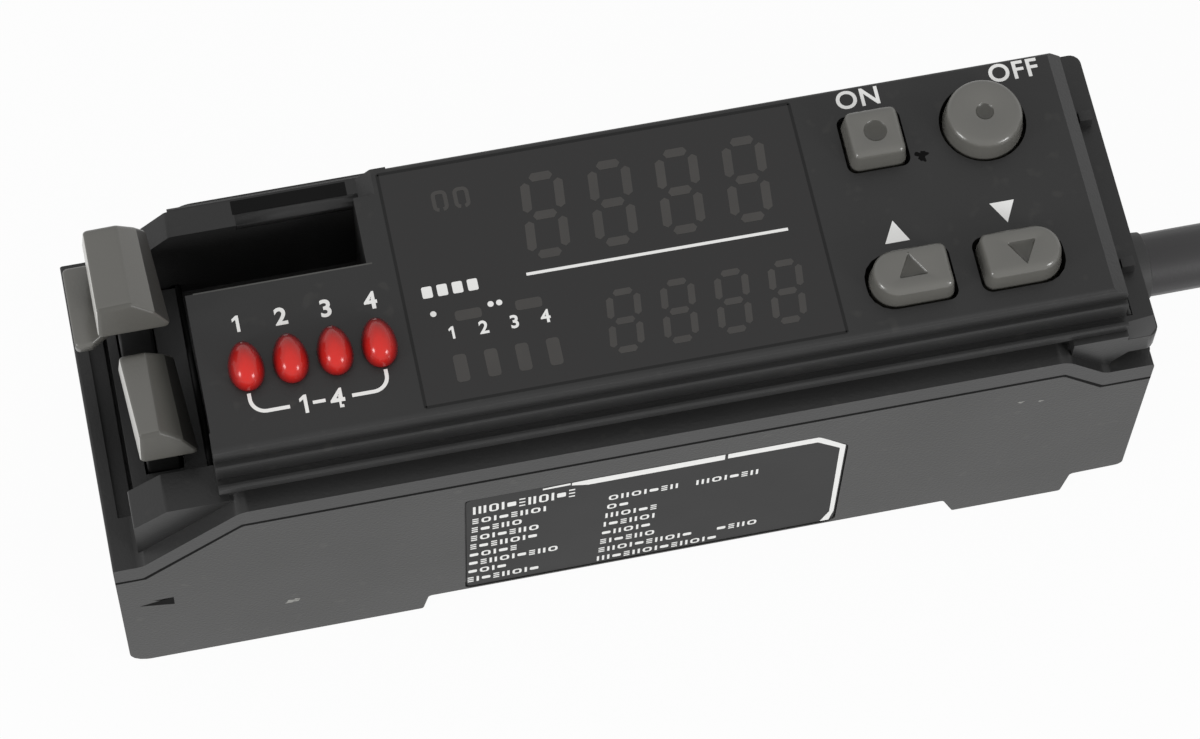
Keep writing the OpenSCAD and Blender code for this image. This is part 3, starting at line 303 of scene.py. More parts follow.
# Finish of each CAD node that stays, and the width of its rounded edges in millimetres
NODE_FINISH = {
    "lower_case": (CASE, 0.12), "upper_housing": (HOUSING, 0.08), "display_window": (WINDOW, 0.06),
    "side_label": (LABEL, 0.0), "fibre_holder": (INNER, 0.05), "emitter_leds": (RESIN, 0.0),
    "receiver_diodes": (DARK_RESIN, 0.0), "optics_board": (BOARD, 0.0), "display_board": (BOARD, 0.0),
    "upper_digits": (INNER, 0.0), "lower_digits": (INNER, 0.0), "indicator_bars": (INNER, 0.0),
    "output_leds": (RESIN, 0.0), "mode_switch": (STEEL, 0.0), "set_switch": (STEEL, 0.0), "up_switch": (STEEL, 0.0),
    "down_switch": (STEEL, 0.0), "main_board": (BOARD, 0.0), "processor_chip": (INNER, 0.0), "capacitors": (CAN, 0.1),
    "board_header": (INNER, 0.0), "lead_terminal": (RESIN, 0.0), "cable_leads": (LEAD, 0.0),
    "rail_latch": (LATCH, 0.08), "latch_spring": (SPRING, 0.0), "cable_bush": (BUSH, 0.08), "cable_ties": (STRAP, 0.1),
}


def closed_grid(rows: int, cols: int) -> np.ndarray:
    """Return the quads of a tube of rings, each ring closed on itself.

    Args:
        rows: number of rings.
        cols: points in one ring.

    Returns:
        Array of four corner numbers a quad, wound so that they face away from the tube's axis when the rings
        climb and each ring runs anticlockwise.
    """
    r, c = np.meshgrid(np.arange(rows - 1), np.arange(cols), indexing="ij")
    nxt = (c + 1) % cols
    return np.stack([r * cols + c, r * cols + nxt, (r + 1) * cols + nxt, (r + 1) * cols + c], -1).reshape(-1, 4)


def capped_grid(rows: int, cols: int) -> list[list[int]]:
    """Return the faces of a tube of rings that is closed by a flat face at each end.

    Args:
        rows: number of rings.
        cols: points in one ring.

    Returns:
        Corner numbers of the quads, then of the first and of the last ring's face.
    """
    first = np.arange(cols)
    return closed_grid(rows, cols).tolist() + [first[::-1].tolist(), (first + (rows - 1) * cols).tolist()]


def circle(count: int) -> tuple[np.ndarray, np.ndarray]:
    """Return evenly spaced bearings, and the points (cos a, sin a) of the unit circle at them."""
    angles = np.linspace(0, 2 * math.pi, count, endpoint=False)
    return angles, np.stack([np.cos(angles), np.sin(angles)], 1)


def at_height(points: np.ndarray, z: float) -> np.ndarray:
    """Return points of the XY plane lifted to the height z."""
    return np.column_stack([points, np.full(len(points), z)])


def new_piece(name: str, verts: np.ndarray, faces: list[list[int]], finish: Finish, body: str = "body",
              smooth: bool = True) -> bpy.types.Object:
    """Put a mesh into the scene as a piece that rides on a body.

    Args:
        name: name of the piece.
        verts: points in metres, in the row frame.
        faces: corner numbers of each face.
        finish: finish of the whole piece.
        body: CAD body that it moves with.
        smooth: whether the faces are shaded smooth.

    Returns:
        The new object.
    """
    mesh = bpy.data.meshes.new(name)
    mesh.from_pydata(verts.tolist(), [], faces)
    mesh.polygons.foreach_set("use_smooth", [smooth] * len(mesh.polygons))
    mesh.update()
    piece = bpy.data.objects.new(name, mesh)
    bpy.context.scene.collection.objects.link(piece)
    mesh.materials.append(finish.material())
    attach(piece, body)
    return piece


def finish_edges(piece: bpy.types.Object, width: float) -> None:
    """Merge a CAD node's loose triangles, join its flat faces and round its sharp edges, with modifiers.

    Args:
        piece: the CAD node's object.
        width: width of the rounding in millimetres, or 0 for sharp edges.
    """
    merge = piece.modifiers.new("merge", "WELD")
    merge.merge_threshold = 0.000001
    flat = piece.modifiers.new("flat faces", "DECIMATE")
    flat.decimate_type = "DISSOLVE"
    flat.angle_limit = math.radians(0.5)
    if width > 0:
        bevel = piece.modifiers.new("edges", "BEVEL")
        bevel.width = width * MM
        bevel.segments = 2
        bevel.limit_method = "ANGLE"
        bevel.angle_limit = math.radians(35)
        bevel.use_clamp_overlap = True
    even = piece.modifiers.new("shading", "WEIGHTED_NORMAL")
    even.weight = 80


@dataclass
class Cable:
    """The cable: straight out of the body, down to the surface and folded into a tied hank.

    Attributes:
        route: points of the cable's centreline up to the hank, in millimetres, as in the part's source.
        diameter: outer diameter in millimetres.
        length: whole length in metres.
        ends: X of the centres of the hank's two round ends in millimetres.
        middle: Y of the hank's middle in millimetres.
        outer_r: radius of the outer turns' centreline in millimetres.
        pitch: distance between neighbouring turns in millimetres.
        outer_turns: turns in the outer column, before the cable steps in.
        step_turns: share of a turn over which it steps in.
        step_rise: how far it lifts as it steps in, in millimetres.
        turns: turns that are drawn before the line is cut to the cable's length.
        turn_points: points of the line in one turn.
        route_points: points of the line between two points of the route.
    """

    route: list[tuple[float, float, float]] = field(default_factory=lambda: [
        (37.4, 0, 9.9), (42, 0, 9.9), (46, 0, 9.7), (50, 0.6, 9.05), (54, 1.8, 8.05), (58, 3.45, 6.9),
        (62, 5.3, 5.65), (66, 6.95, 4.5), (70, 8.15, 3.6), (74, 8.7, 3.1), (78, 8.75, 2.95), (82, 8.75, 2.95)])
    diameter: float = 4.3
    length: float = 2.0
    ends: tuple[float, float] = (85.35, 128.65)
    middle: float = -9.35
    outer_r: float = 18.1
    pitch: float = 4.6
    outer_turns: float = 5.25
    step_turns: float = 0.25
    step_rise: float = 0.15
    turns: float = 11.0
    turn_points: int = 80
    route_points: int = 6

    def lead_in(self) -> np.ndarray:
        """Return the smooth line through the route's points, in millimetres.

        Between two points p0 and p1 with slopes m0 and m1 the line is p0 h00 + m0 h10 + p1 h01 + m1 h11, where the
        four h are the cubic Hermite weights and a slope is half the distance between the points on either side.

        Returns:
            Array of points, from the body's end to the last point of the route.
        """
        points = np.array(self.route, float)
        slopes = np.gradient(points, axis=0)
        t = (np.arange(self.route_points) / self.route_points)[None, :, None]
        p0, p1, m0, m1 = (a[:, None] for a in (points[:-1], points[1:], slopes[:-1], slopes[1:]))
        line = ((2 * t ** 3 - 3 * t ** 2 + 1) * p0 + (t ** 3 - 2 * t ** 2 + t) * m0
                + (3 * t ** 2 - 2 * t ** 3) * p1 + (t ** 3 - t ** 2) * m1)
        return np.concatenate([line.reshape(-1, 3), points[-1:]])

    def hank(self) -> np.ndarray:
        """Return the folded turns in millimetres, wound clockwise seen from above.

        Each turn is a run to +X, a half circle, a run to -X and a half circle. The radius steps in by one pitch
        over a share of a turn after the outer column, along a cosine, and z climbs one pitch a turn before that
        and falls one pitch a turn after it.

        Returns:
            Array of points along all turns.
        """
        t = np.arange(0, self.turns, 1 / self.turn_points)
        s = np.clip((t - self.outer_turns) / self.step_turns, 0, 1)
        r = self.outer_r - self.pitch * (1 - np.cos(math.pi * s)) / 2
        rise = np.minimum(t, self.outer_turns) - np.maximum(t - self.outer_turns - self.step_turns, 0)
        z = self.route[-1][2] + self.pitch * rise + self.step_rise * np.sin(math.pi * s)
        u = (4 * t) % 4
        x0, x1 = self.ends
        angle = math.pi * (u % 1)
        part = [u < 1, u < 2, u < 3, u >= 3]
        x = np.select(part, [x0 + (x1 - x0) * u, x1 + r * np.sin(angle), x1 - (x1 - x0) * (u - 2),
                             x0 - r * np.sin(angle)])
        y = self.middle + np.select(part, [r, r * np.cos(angle), -r, -r * np.cos(angle)])
        return np.stack([x, y, z], 1)

    def centreline(self) -> np.ndarray:
        """Join the route and the turns, and cut them to the cable's length.

        Returns:
            Array of points in metres.
        """
        line = np.concatenate([self.lead_in(), self.hank()]) * MM
        run = np.concatenate([[0], np.cumsum(np.linalg.norm(np.diff(line, axis=0), axis=1))])
        keep = run < self.length
        end = [np.interp(self.length, run, line[:, i]) for i in range(3)]
        return np.concatenate([line[keep], [end]])

    def build(self) -> bpy.types.Object:
        """Returns:
            The cable.
        """
        line = self.centreline()
        data = bpy.data.curves.new("cable", "CURVE")
        data.dimensions = "3D"
        spline = data.splines.new("POLY")
        spline.points.add(len(line) - 1)
        spline.points.foreach_set("co", np.column_stack([line, np.ones(len(line))]).ravel())
        spline.use_smooth = True
        data.bevel_depth = self.diameter / 2 * MM
        data.bevel_resolution = 6
        data.use_fill_caps = True
        cable = bpy.data.objects.new("cable", data)
        bpy.context.scene.collection.objects.link(cable)
        data.materials.append(JACKET.material())
        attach(cable, "body")
        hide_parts("cable_tube", "cable_hank")
        return cable


@dataclass
class Studio:
    """Camera at the photograph's viewpoint, plain floor and soft lights.

    Attributes:
        eye: camera's place in metres.
        right: camera's right-hand direction.
        down: camera's downward direction.
        ahead: direction of view.
        focal_px: focal length in pixels of the picture.
        picture_px: width of the picture in pixels.
        sensor: width of the sensor in millimetres.
        softboxes: name and place in metres of each softbox.
        softbox_size: side of a softbox in metres.
        softbox_power: power of a softbox in watts.
        aim: place that the softboxes shine at, in metres.
        room: strength of the world's light on the object.
        floor_tone: how pale the floor is.
        floor_white: how far the floor goes to white where the camera or a reflection sees it.
        floor_half: half the side of the floor in metres.
    """

    eye: tuple[float, float, float] = (-0.030513, -0.115723, 0.265698)
    right: tuple[float, float, float] = (0.9784857, -0.20492034, 0.02394567)
    down: tuple[float, float, float] = (-0.17596173, -0.88948895, -0.42171896)
    ahead: tuple[float, float, float] = (0.1077182, 0.40843245, -0.90641035)
    focal_px: float = 4246.787
    picture_px: int = 1200
    sensor: float = 36.0
    softboxes: tuple[tuple[str, tuple[float, float, float]], ...] = (
        ("left softbox", (-0.72, -0.26, 0.26)), ("right softbox", (0.5, -0.56, 0.28)))
    softbox_size: float = 0.22
    softbox_power: float = 2.6
    aim: tuple[float, float, float] = (0.0, 0.0, 0.012)
    room: float = 0.7
    floor_tone: float = 0.62
    floor_white: float = 0.96
    floor_half: float = 1.5

    def camera(self) -> None:
        """Place the camera: its axes are the fitted right, up and back directions."""
        data = bpy.data.cameras.new("camera")
        data.sensor_width = self.sensor
        data.lens = self.focal_px / self.picture_px * self.sensor
        data.clip_start = 0.01
        data.clip_end = 20
        camera = bpy.data.objects.new("camera", data)
        axes = Matrix([self.right, [-v for v in self.down], [-v for v in self.ahead]]).transposed()
        camera.matrix_world = Matrix.Translation(self.eye) @ axes.to_4x4()
        bpy.context.scene.collection.objects.link(camera)
        bpy.context.scene.camera = camera

    def softbox(self, name: str, place: tuple[float, float, float]) -> None:
        """Add a square area lamp that shines at the body.

        Args:
            name: name of the lamp.
            place: its place in metres.
        """
        data = bpy.data.lights.new(name, "AREA")
        data.size = self.softbox_size
        data.energy = self.softbox_power
        lamp = bpy.data.objects.new(name, data)
        lamp.location = place
        back = Vector(place) - Vector(self.aim)
        lamp.rotation_mode = "QUATERNION"
        lamp.rotation_quaternion = back.to_track_quat("Z", "Y")
        bpy.context.scene.collection.objects.link(lamp)

    def lights(self) -> None:
        """Add the two softboxes in front and the pale world, which is white to the camera and in reflections."""
        for name, place in self.softboxes:
            self.softbox(name, place)
        world = bpy.data.worlds.new("room")
        bpy.context.scene.world = world
        world.use_nodes = True
        n, link = world.node_tree.nodes, world.node_tree.links.new
        room, shown = n["Background"], n.new("ShaderNodeBackground")
        room.inputs["Color"].default_value = shown.inputs["Color"].default_value = (1, 1, 1, 1)
        room.inputs["Strength"].default_value = self.room
        shown.inputs["Strength"].default_value = 1.0
        mix = n.new("ShaderNodeMixShader")
        link(self.seen(world.node_tree), mix.inputs[0])
        link(room.outputs[0], mix.inputs[1])
        link(shown.outputs[0], mix.inputs[2])
        link(mix.outputs[0], n["World Output"].inputs["Surface"])

    @staticmethod
    def seen(tree: bpy.types.NodeTree) -> bpy.types.NodeSocket:
        """Add the nodes that give 1 to camera, glossy and transmission rays and 0 to all others.

        Args:
            tree: node tree of a material or a world.

        Returns:
            The socket that carries the value.
        """
        path = tree.nodes.new("ShaderNodeLightPath")
        total = path.outputs["Is Camera Ray"]
        for name in ("Is Glossy Ray", "Is Transmission Ray"):
            either = tree.nodes.new("ShaderNodeMath")
            either.operation = "MAXIMUM"
            tree.links.new(total, either.inputs[0])
            tree.links.new(path.outputs[name], either.inputs[1])
            total = either.outputs[0]
        return total

    def floor(self) -> None:
        """Add the plain floor under the feet: pale, and most of the way to white where the camera sees it."""
        mesh = bpy.data.meshes.new("floor")
        half = self.floor_half
        mesh.from_pydata([(-half, -half, 0), (half, -half, 0), (half, half, 0), (-half, half, 0)], [], [(0, 1, 2, 3)])
        floor = bpy.data.objects.new("floor", mesh)
        bpy.context.scene.collection.objects.link(floor)
        made = bpy.data.materials.new("floor")
        made.use_nodes = True
        n, link = made.node_tree.nodes, made.node_tree.links.new
        shader = n["Principled BSDF"]
        shader.inputs["Base Color"].default_value = (*[self.floor_tone] * 3, 1)
        shader.inputs["Roughness"].default_value = 0.9
        shader.inputs["Specular IOR Level"].default_value = 0.1
        white, mix, share = n.new("ShaderNodeEmission"), n.new("ShaderNodeMixShader"), n.new("ShaderNodeMath")
        white.inputs["Strength"].default_value = 1.0
        share.operation = "MULTIPLY"
        share.inputs[1].default_value = self.floor_white
        link(self.seen(made.node_tree), share.inputs[0])
        link(share.outputs[0], mix.inputs[0])
        link(shader.outputs[0], mix.inputs[1])
        link(white.outputs[0], mix.inputs[2])
        link(mix.outputs[0], n["Material Output"].inputs["Surface"])
        mesh.materials.append(made)

    def build(self) -> None:
        """Make the whole studio."""
        self.camera()
        self.lights()
        self.floor()
        bpy.context.scene.view_settings.view_transform = "Standard"

def rounded_outline(half_x: float, half_y: float, radii: tuple[float, float, float, float],
                    per_corner: int = 10) -> np.ndarray:
    """Return a rounded rectangle as one closed outline, anticlockwise from the lower right corner's arc.

    Each corner is an arc of its own radius: centre plus radius times (cos a, sin a), a over its quarter turn.

    Args:
        half_x: half its length.
        half_y: half its width.
        radii: corner radii, from lower right anticlockwise.
        per_corner: points on each arc.

    Returns:
        Array of points, four times per_corner of them.
    """
    sx, sy = np.array([1, 1, -1, -1]), np.array([-1, 1, 1, -1])
    r = np.clip(np.array(radii, float), 0.01, min(half_x, half_y))
    start = np.array([-90, 0, 90, 180])
    a = np.radians(start[:, None] + np.linspace(0, 90, per_corner)[None, :])
    x = (sx * (half_x - r))[:, None] + r[:, None] * np.cos(a)
    y = (sy * (half_y - r))[:, None] + r[:, None] * np.sin(a)
    return np.stack([x.ravel(), y.ravel()], 1)


def star_outline(outline: np.ndarray, angles: np.ndarray) -> np.ndarray:
    """Sample a convex outline where rays at the given angles from its middle cross it.

    Args:
        outline: closed outline round the origin.
        angles: angles of the rays, in radians.

    Returns:
        One point for each angle.
    """
    corners = np.concatenate([outline, outline[:1]])
    place = np.linspace(0, len(outline), 40 * len(outline) + 1)
    closed = np.stack([np.interp(place, np.arange(len(corners)), corners[:, i]) for i in range(2)], 1)
    bearing = np.unwrap(np.arctan2(closed[:, 1], closed[:, 0]))
    reach = np.interp((angles - bearing[0]) % (2 * math.pi) + bearing[0], bearing, np.hypot(closed[:, 0], closed[:, 1]))
    return np.stack([np.cos(angles) * reach, np.sin(angles) * reach], 1)


def soft_outline(points: list[tuple[float, float]], radii: list[float], per_corner: int = 6) -> np.ndarray:
    """Round the corners of a convex outline with arcs.

    Each corner's arc has its centre on the bisector, r / sin(half angle) from the corner, and its points lie at
    equal steps between the two places where it touches the sides, pushed out to the radius.

    Args:
        points: corners, in order.
        radii: radius at each corner.
        per_corner: points on each arc.

    Returns:
        Array of points, per_corner of them for each corner.
    """
    b = np.array(points, float)
    to_last, to_next = np.roll(b, 1, 0) - b, np.roll(b, -1, 0) - b
    to_last /= np.linalg.norm(to_last, axis=1)[:, None]
    to_next /= np.linalg.norm(to_next, axis=1)[:, None]
    half = np.arccos(np.clip((to_last * to_next).sum(1), -1, 1)) / 2
    r = np.array(radii, float)[:, None]
    middle = to_last + to_next
    middle /= np.linalg.norm(middle, axis=1)[:, None]
    centre = b + middle * r / np.sin(half)[:, None]
    start = b + to_last * r / np.tan(half)[:, None] - centre
    end = b + to_next * r / np.tan(half)[:, None] - centre
    t = np.linspace(0, 1, per_corner)[None, :, None]
    arc = start[:, None] * (1 - t) + end[:, None] * t
    arc *= r[:, None] / np.linalg.norm(arc, axis=2)[:, :, None]
    return (centre[:, None] + arc).reshape(-1, 2)


def loft(name: str, rings: list[np.ndarray], finish: Finish, body: str = "body") -> bpy.types.Object:
    """Make a closed piece from rings of points, one after the other, with flat ends.

    Args:
        name: name of the piece.
        rings: arrays of the same number of points, in millimetres in the row frame.
        finish: finish of the piece.
        body: CAD body that it rides on.

    Returns:
        The new object, its faces turned outwards.
    """
    piece = new_piece(name, np.concatenate(rings) * MM, capped_grid(len(rings), len(rings[0])), finish, body)
    shell = bmesh.new()
    shell.from_mesh(piece.data)
    bmesh.ops.recalc_face_normals(shell, faces=shell.faces)
    shell.to_mesh(piece.data)
    shell.free()
    return piece


@dataclass
class Casing:
    """The CAD nodes that stay in view or inside, and the small fillers where their mouldings meet.

    Attributes:
        fillers: name, least and greatest X, Y and Z in millimetres, and finish of each filler.
    """

    fillers: tuple[tuple[str, tuple[float, ...], Finish], ...] = (
        ("pocket_rim", (-22.5, -14.56, 6.96, 7.74, 24.62, 25.2), HOUSING),
        ("end_groove", (32.27, 32.63, -8.7, 8.7, 21.5, 21.95), HOUSING),
        # bay_strip is painted shade: a near-black strip in the slit beside the lever guide
        ("bay_strip", (-26.88, -26.52, -7.3, 6.9, 17.4, 18.38), SHADE))

    def dress(self) -> None:
        """Give each CAD node that stays its finish, and round its edges."""
        for node, (finish, width) in NODE_FINISH.items():
            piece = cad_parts[node]
            for material_slot in piece.material_slots:
                material_slot.link = "OBJECT"
                material_slot.material = finish.material()
            finish_edges(piece, width)
            log.info("dressed %s with %s", node, finish.name)

    def build(self) -> list[bpy.types.Object]:
        """Make the inner rim of the wall behind the pocket, and the strips that close two slits, the one in the bay
        painted near-black as shade.

        Returns:
            One object for each filler.
        """
        made = []
        for name, (x0, x1, y0, y1, z0, z1), finish in self.fillers:
            flat = soft_outline([(x0, y0), (x1, y0), (x1, y1), (x0, y1)], [0.05] * 4, 3)
            made.append(loft(name, [at_height(flat, z) for z in (z0, z1)], finish))
        return made


@dataclass
class Key:
    """One key: a rounded cap with a mark pressed into its top, on a flange and a stem.

    Attributes:
        node: CAD node that it stands for.
        body: CAD body that it rides on.
        shape: outline of the cap.
        x: middle of the key along X, in millimetres.
        y: middle of the key along Y.
        half_x: half the cap's length.
        half_y: half the cap's width.
        mark: 0 for a round dimple, 1 for a triangle pointing to +Y, -1 for one pointing to -Y.
        mark_size: radius of the mark.
        mark_depth: depth of the mark.
        top: height of the cap's top.
        panel: height of the panel.
        stem_drop: depth of the stem's foot under the panel.
        stem_r: radius of the stem.
        flange_drop: depth of the flange's underside under the panel.
        flange_h: thickness of the flange.
        flange_w: how far the flange sticks out.
        corner: radius of the cap's small corners.
        edge: radius of the rim round the top.
        draft: how far the sides lean in up to the rim.
    """

    node: str
    body: str
    shape: KeyShape
    x: float
    y: float
    half_x: float
    half_y: float
    mark: int
    mark_size: float = 1.1
    mark_depth: float = 0.18
    top: float = 27.7
    panel: float = 26.2
    stem_drop: float = 4.1
    stem_r: float = 0.9
    flange_drop: float = 2.45
    flange_h: float = 0.8
    flange_w: float = 0.5
    corner: float = 0.6
    edge: float = 0.5
    draft: float = 0.14

    def outline(self, inset: float, angles: np.ndarray) -> np.ndarray:
        """Return the cap's outline, moved in.

        Args:
            inset: how far it is moved in, in millimetres.
            angles: bearings of its points, in radians.

        Returns:
            One point for each angle.
        """
        hx, hy = self.half_x - inset, self.half_y - inset
        small, big = max(self.corner - inset, 0.05), max(self.half_y - 0.05 - inset, 0.05)
        radii = {KeyShape.SQUARE: (small,) * 4, KeyShape.ROUND: (hx,) * 4,
                 KeyShape.LEFT_ROUND: (small, small, big, big),
                 KeyShape.RIGHT_ROUND: (big, big, small, small)}[self.shape]
        return star_outline(rounded_outline(hx, hy, radii, 24), angles)

    def mark_outline(self, angles: np.ndarray) -> np.ndarray:
        """Return the pressed mark's outline: a circle, or a triangle with eased corners.

        A triangle's side lies half its size from the middle, so at a bearing b from a side's own the reach is
        size / (2 cos b), cut to 0.94 of the size at the corners.

        Args:
            angles: bearings of its points, in radians.

        Returns:
            One point for each angle.
        """
        reach = np.full(len(angles), self.mark_size)
        if self.mark:
            sector = (angles - math.pi / 2 * self.mark + math.pi / 3) % (2 * math.pi / 3) - math.pi / 3
            side = self.mark_size * 0.5 / np.cos(math.pi / 3 - np.abs(sector))
            reach = np.minimum(side, self.mark_size * 0.94)
        return np.stack([np.cos(angles) * reach, np.sin(angles) * reach], 1)

    def rings(self, angles: np.ndarray, disc: np.ndarray) -> list[tuple[np.ndarray, float]]:
        """Return the rings from the foot of the stem over the cap to the middle of the mark.

        Args:
            angles: bearings of the points of a ring.
            disc: points of the unit circle at these bearings.

        Returns:
            Outline and height of each ring, 8 of them up to the cap's foot and the last 4 in the mark.
        """
        low, flange, top = self.panel - self.stem_drop, self.panel - self.flange_drop, self.top
        rings = [(disc * 0.02, low), (disc * (self.stem_r - 0.05), low), (disc * self.stem_r, low + 0.05),
                 (disc * self.stem_r, flange)]
        for out, height in ((self.flange_w - 0.05, 0.0), (self.flange_w, 0.05), (self.flange_w, self.flange_h - 0.05),
                            (0.0, self.flange_h)):
            rings.append((self.outline(-out, angles), flange + height))
        rings.append((self.outline(0.0, angles), self.panel - 0.2))
        for a in np.radians(np.linspace(0, 90, 8)):
            inset = self.draft + self.edge * (1 - math.cos(a))
            rings.append((self.outline(inset, angles), top - self.edge + self.edge * math.sin(a)))
        mark = self.mark_outline(angles)
        for share, depth in ((1.08, 0.0), (1.0, 0.04), (0.9, self.mark_depth - 0.02), (0.45, self.mark_depth),
                             (0.02, self.mark_depth)):
            rings.append((mark * share, top - depth))
        return rings

    def build(self) -> bpy.types.Object:
        """Make the key as one stack of rings, with the flange and the mark painted darker as shade.

        Returns:
            The key.
        """
        angles, disc = circle(96)
        rings = self.rings(angles, disc)
        verts = np.concatenate([at_height(outline, z) for outline, z in rings])
        faces = capped_grid(len(rings), len(angles))
        key = new_piece(self.node + "_cap", (verts + (self.x, self.y, 0)) * MM, faces, GREY, self.body)
        key.data.materials.append(RECESS_SHADE.material())
        # Painted shade: the stem, the flange and the pressed mark take the darker copy
        dark = np.zeros(len(faces), int)
        dark[:8 * len(angles)] = 1
        dark[(len(rings) - 4) * len(angles):-2] = 1
        dark[-1] = 1
        key.data.polygons.foreach_set("material_index", dark)
        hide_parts(self.node)
        even = key.modifiers.new("shading", "WEIGHTED_NORMAL")
        even.weight = 60
        return key


@dataclass
class Lever:
    """A fibre lock lever: a soft grip with a flat back, a sloping front and leaning ends, on a stem.

    Attributes:
        node: CAD node that it stands for.
        body: CAD body that it rides on.
        x: middle of the stem along X, in millimetres.
        y: middle of the lever along Y.
        top: height of the ridge.
        length: length along Y at the foot of the grip.
        height: height of the grip.
        lean: how far each end leans in from foot to ridge.
        edge: radius of the rim round each end.
        fibre_side: X of the foot's fibre side at the front and at the back end, from the stem's middle.
        block_side: X of the foot's other side at the front end.
        block_skew: how much nearer that side is at the back end, for half the length.
        shoulder: X and Z of the shoulder at the front end, from the ridge.
        shoulder_skew: how far the shoulder moves in and down to the back end, for half the length.
        tab: whether the outer tab is there.
        stem_foot: height of the stem's foot below the ridge.
        steep_shade_from: X of the normal above which a face gets the painted shade of the steep face.
        highlight_from: X of the normal below which a face gets the painted highlight of the fibre side.
        end_shade_from: X of the normal above which a face gets the painted shade of the end.
    """

    node: str
    body: str
    x: float
    y: float
    top: float
    length: float = 6.9
    height: float = 2.8
    lean: float = 0.6
    edge: float = 0.3
    fibre_side: tuple[float, float] = (-2.3, -2.3)
    block_side: float = 2.42
    block_skew: float = 0.25
    shoulder: tuple[float, float] = (1.4, -1.15)
    shoulder_skew: float = 0.1
    tab: bool = False
    stem_foot: float = -12.8
    steep_shade_from: float = 0.79
    highlight_from: float = -0.75
    end_shade_from: float = 0.79

    def section(self, v: float) -> np.ndarray:
        """Return the grip's outline in XZ.

        The top is flat on the fibre side of the ridge. On the other side a slope runs down to a shoulder, and a
        steep face from there to the foot. Both move in towards the back, in proportion to 1 + v.

        Args:
            v: place along the lever, from -1 at the front end to 1 at the back end.

        Returns:
            Array of points round the ridge.
        """
        back = 1 + v
        foot = self.fibre_side[0] + (self.fibre_side[1] - self.fibre_side[0]) * back / 2
        skew = self.shoulder_skew * back
        points = [(foot, -self.height), (self.block_side - self.block_skew * back, -self.height),
                  (self.shoulder[0] - skew, self.shoulder[1] - skew), (0.0, 0.0), (foot + 0.18, -0.1)]
        return soft_outline(points, [0.25, 0.25, 0.3, 0.35, 0.22])

    def grip(self) -> list[np.ndarray]:
        """Return the rings of the grip from front to back.

        A ring at v lies at y = v (length / 2 - lean (z + height) / height), and near each end it shrinks about its
        middle by edge (1 - sin a) while y moves by edge cos a, so that the end's rim is round.

        Returns:
            Arrays of points in the row frame.
        """
        rings = []
        turns = np.radians(np.linspace(0, 90, 6))
        stations = [(-1.0, a) for a in turns] + [(v, math.pi / 2) for v in np.linspace(-0.9, 0.9, 8)]
        stations += [(1.0, a) for a in turns[::-1]]
        for v, a in stations:
            flat = self.section(v)
            middle = (flat.min(0) + flat.max(0)) / 2
            size = (flat.max(0) - flat.min(0)) / 2
            flat = middle + (flat - middle) * (1 - self.edge * (1 - np.sin(a)) / size)
            leaning = self.lean * (flat[:, 1] + self.height) / self.height
            reach = self.length / 2 - leaning - self.edge * (1 - math.cos(a))
            rings.append(np.column_stack([self.x + flat[:, 0], self.y + v * reach, self.top + flat[:, 1]]))
        return rings

    def paint_light_and_shade(self, grip: bpy.types.Object) -> None:
        """Paint shade on the grip's end and its steep face, and a highlight on its fibre side, as copies of the lever
        plastic.

        Args:
            grip: the finished grip.
        """
        for finish in (LEVER_END_SHADE, LEVER_STEEP_SHADE, LEVER_HIGHLIGHT):
            grip.data.materials.append(finish.material())
        normals = np.empty(len(grip.data.polygons) * 3)
        grip.data.polygons.foreach_get("normal", normals)
        x, y, _ = normals.reshape(-1, 3).T
        # Painted shade on the steep face and the end, and a painted highlight on the fibre side, chosen by the face's
        # normal
        cases = [x > self.steep_shade_from, x < self.highlight_from, (y < -0.35) | (x > self.end_shade_from)]
        grip.data.polygons.foreach_set("material_index", np.select(cases, [2, 3, 1], 0))

    def stem(self) -> bpy.types.Object:
        """Make the stem under the grip, painted near-black as the shade under the lever.

        Returns:
            The stem.
        """
        flat = soft_outline([(-1.08, -1.98), (1.08, -1.98), (1.08, 1.98), (-1.08, 1.98)], [0.2] * 4)
        rings = [at_height(flat + (self.x, self.y), self.top + z) for z in (self.stem_foot, -self.height + 0.4)]
        return loft(self.node + "_stem", rings, STEM_SHADE, self.body)

    def outer_tab(self) -> bpy.types.Object:
        """Make the flat tab with its cut corner, drawn in a little at its upper and lower rims.

        Returns:
            The tab.
        """
        flat = soft_outline([(-3.83, -2.78), (-2.75, -2.78), (-0.2, -1.1), (-0.2, 2.78), (-3.83, 2.78)],
                            [0.3, 0.3, 0.1, 0.1, 0.3])
        middle = np.array([-2.0, 0.0])
        rings = [at_height((flat - middle) * (1 - cut / 2) + middle + (self.x, self.y), self.top + z)
                 for z, cut in ((-5.58, 0.12), (-5.45, 0.0), (-4.75, 0.0), (-4.62, 0.12))]
        return loft(self.node + "_tab", rings, LEVER, self.body)

    def build(self) -> list[bpy.types.Object]:
        """Make the grip, the stem and, on the raised lever, the outer tab.

        Returns:
            The pieces, the grip first.
        """
        grip = loft(self.node + "_grip", self.grip(), LEVER, self.body)
        self.paint_light_and_shade(grip)
        pieces = [grip, self.stem()]
        if self.tab:
            pieces.append(self.outer_tab())
        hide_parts(self.node)
        return pieces


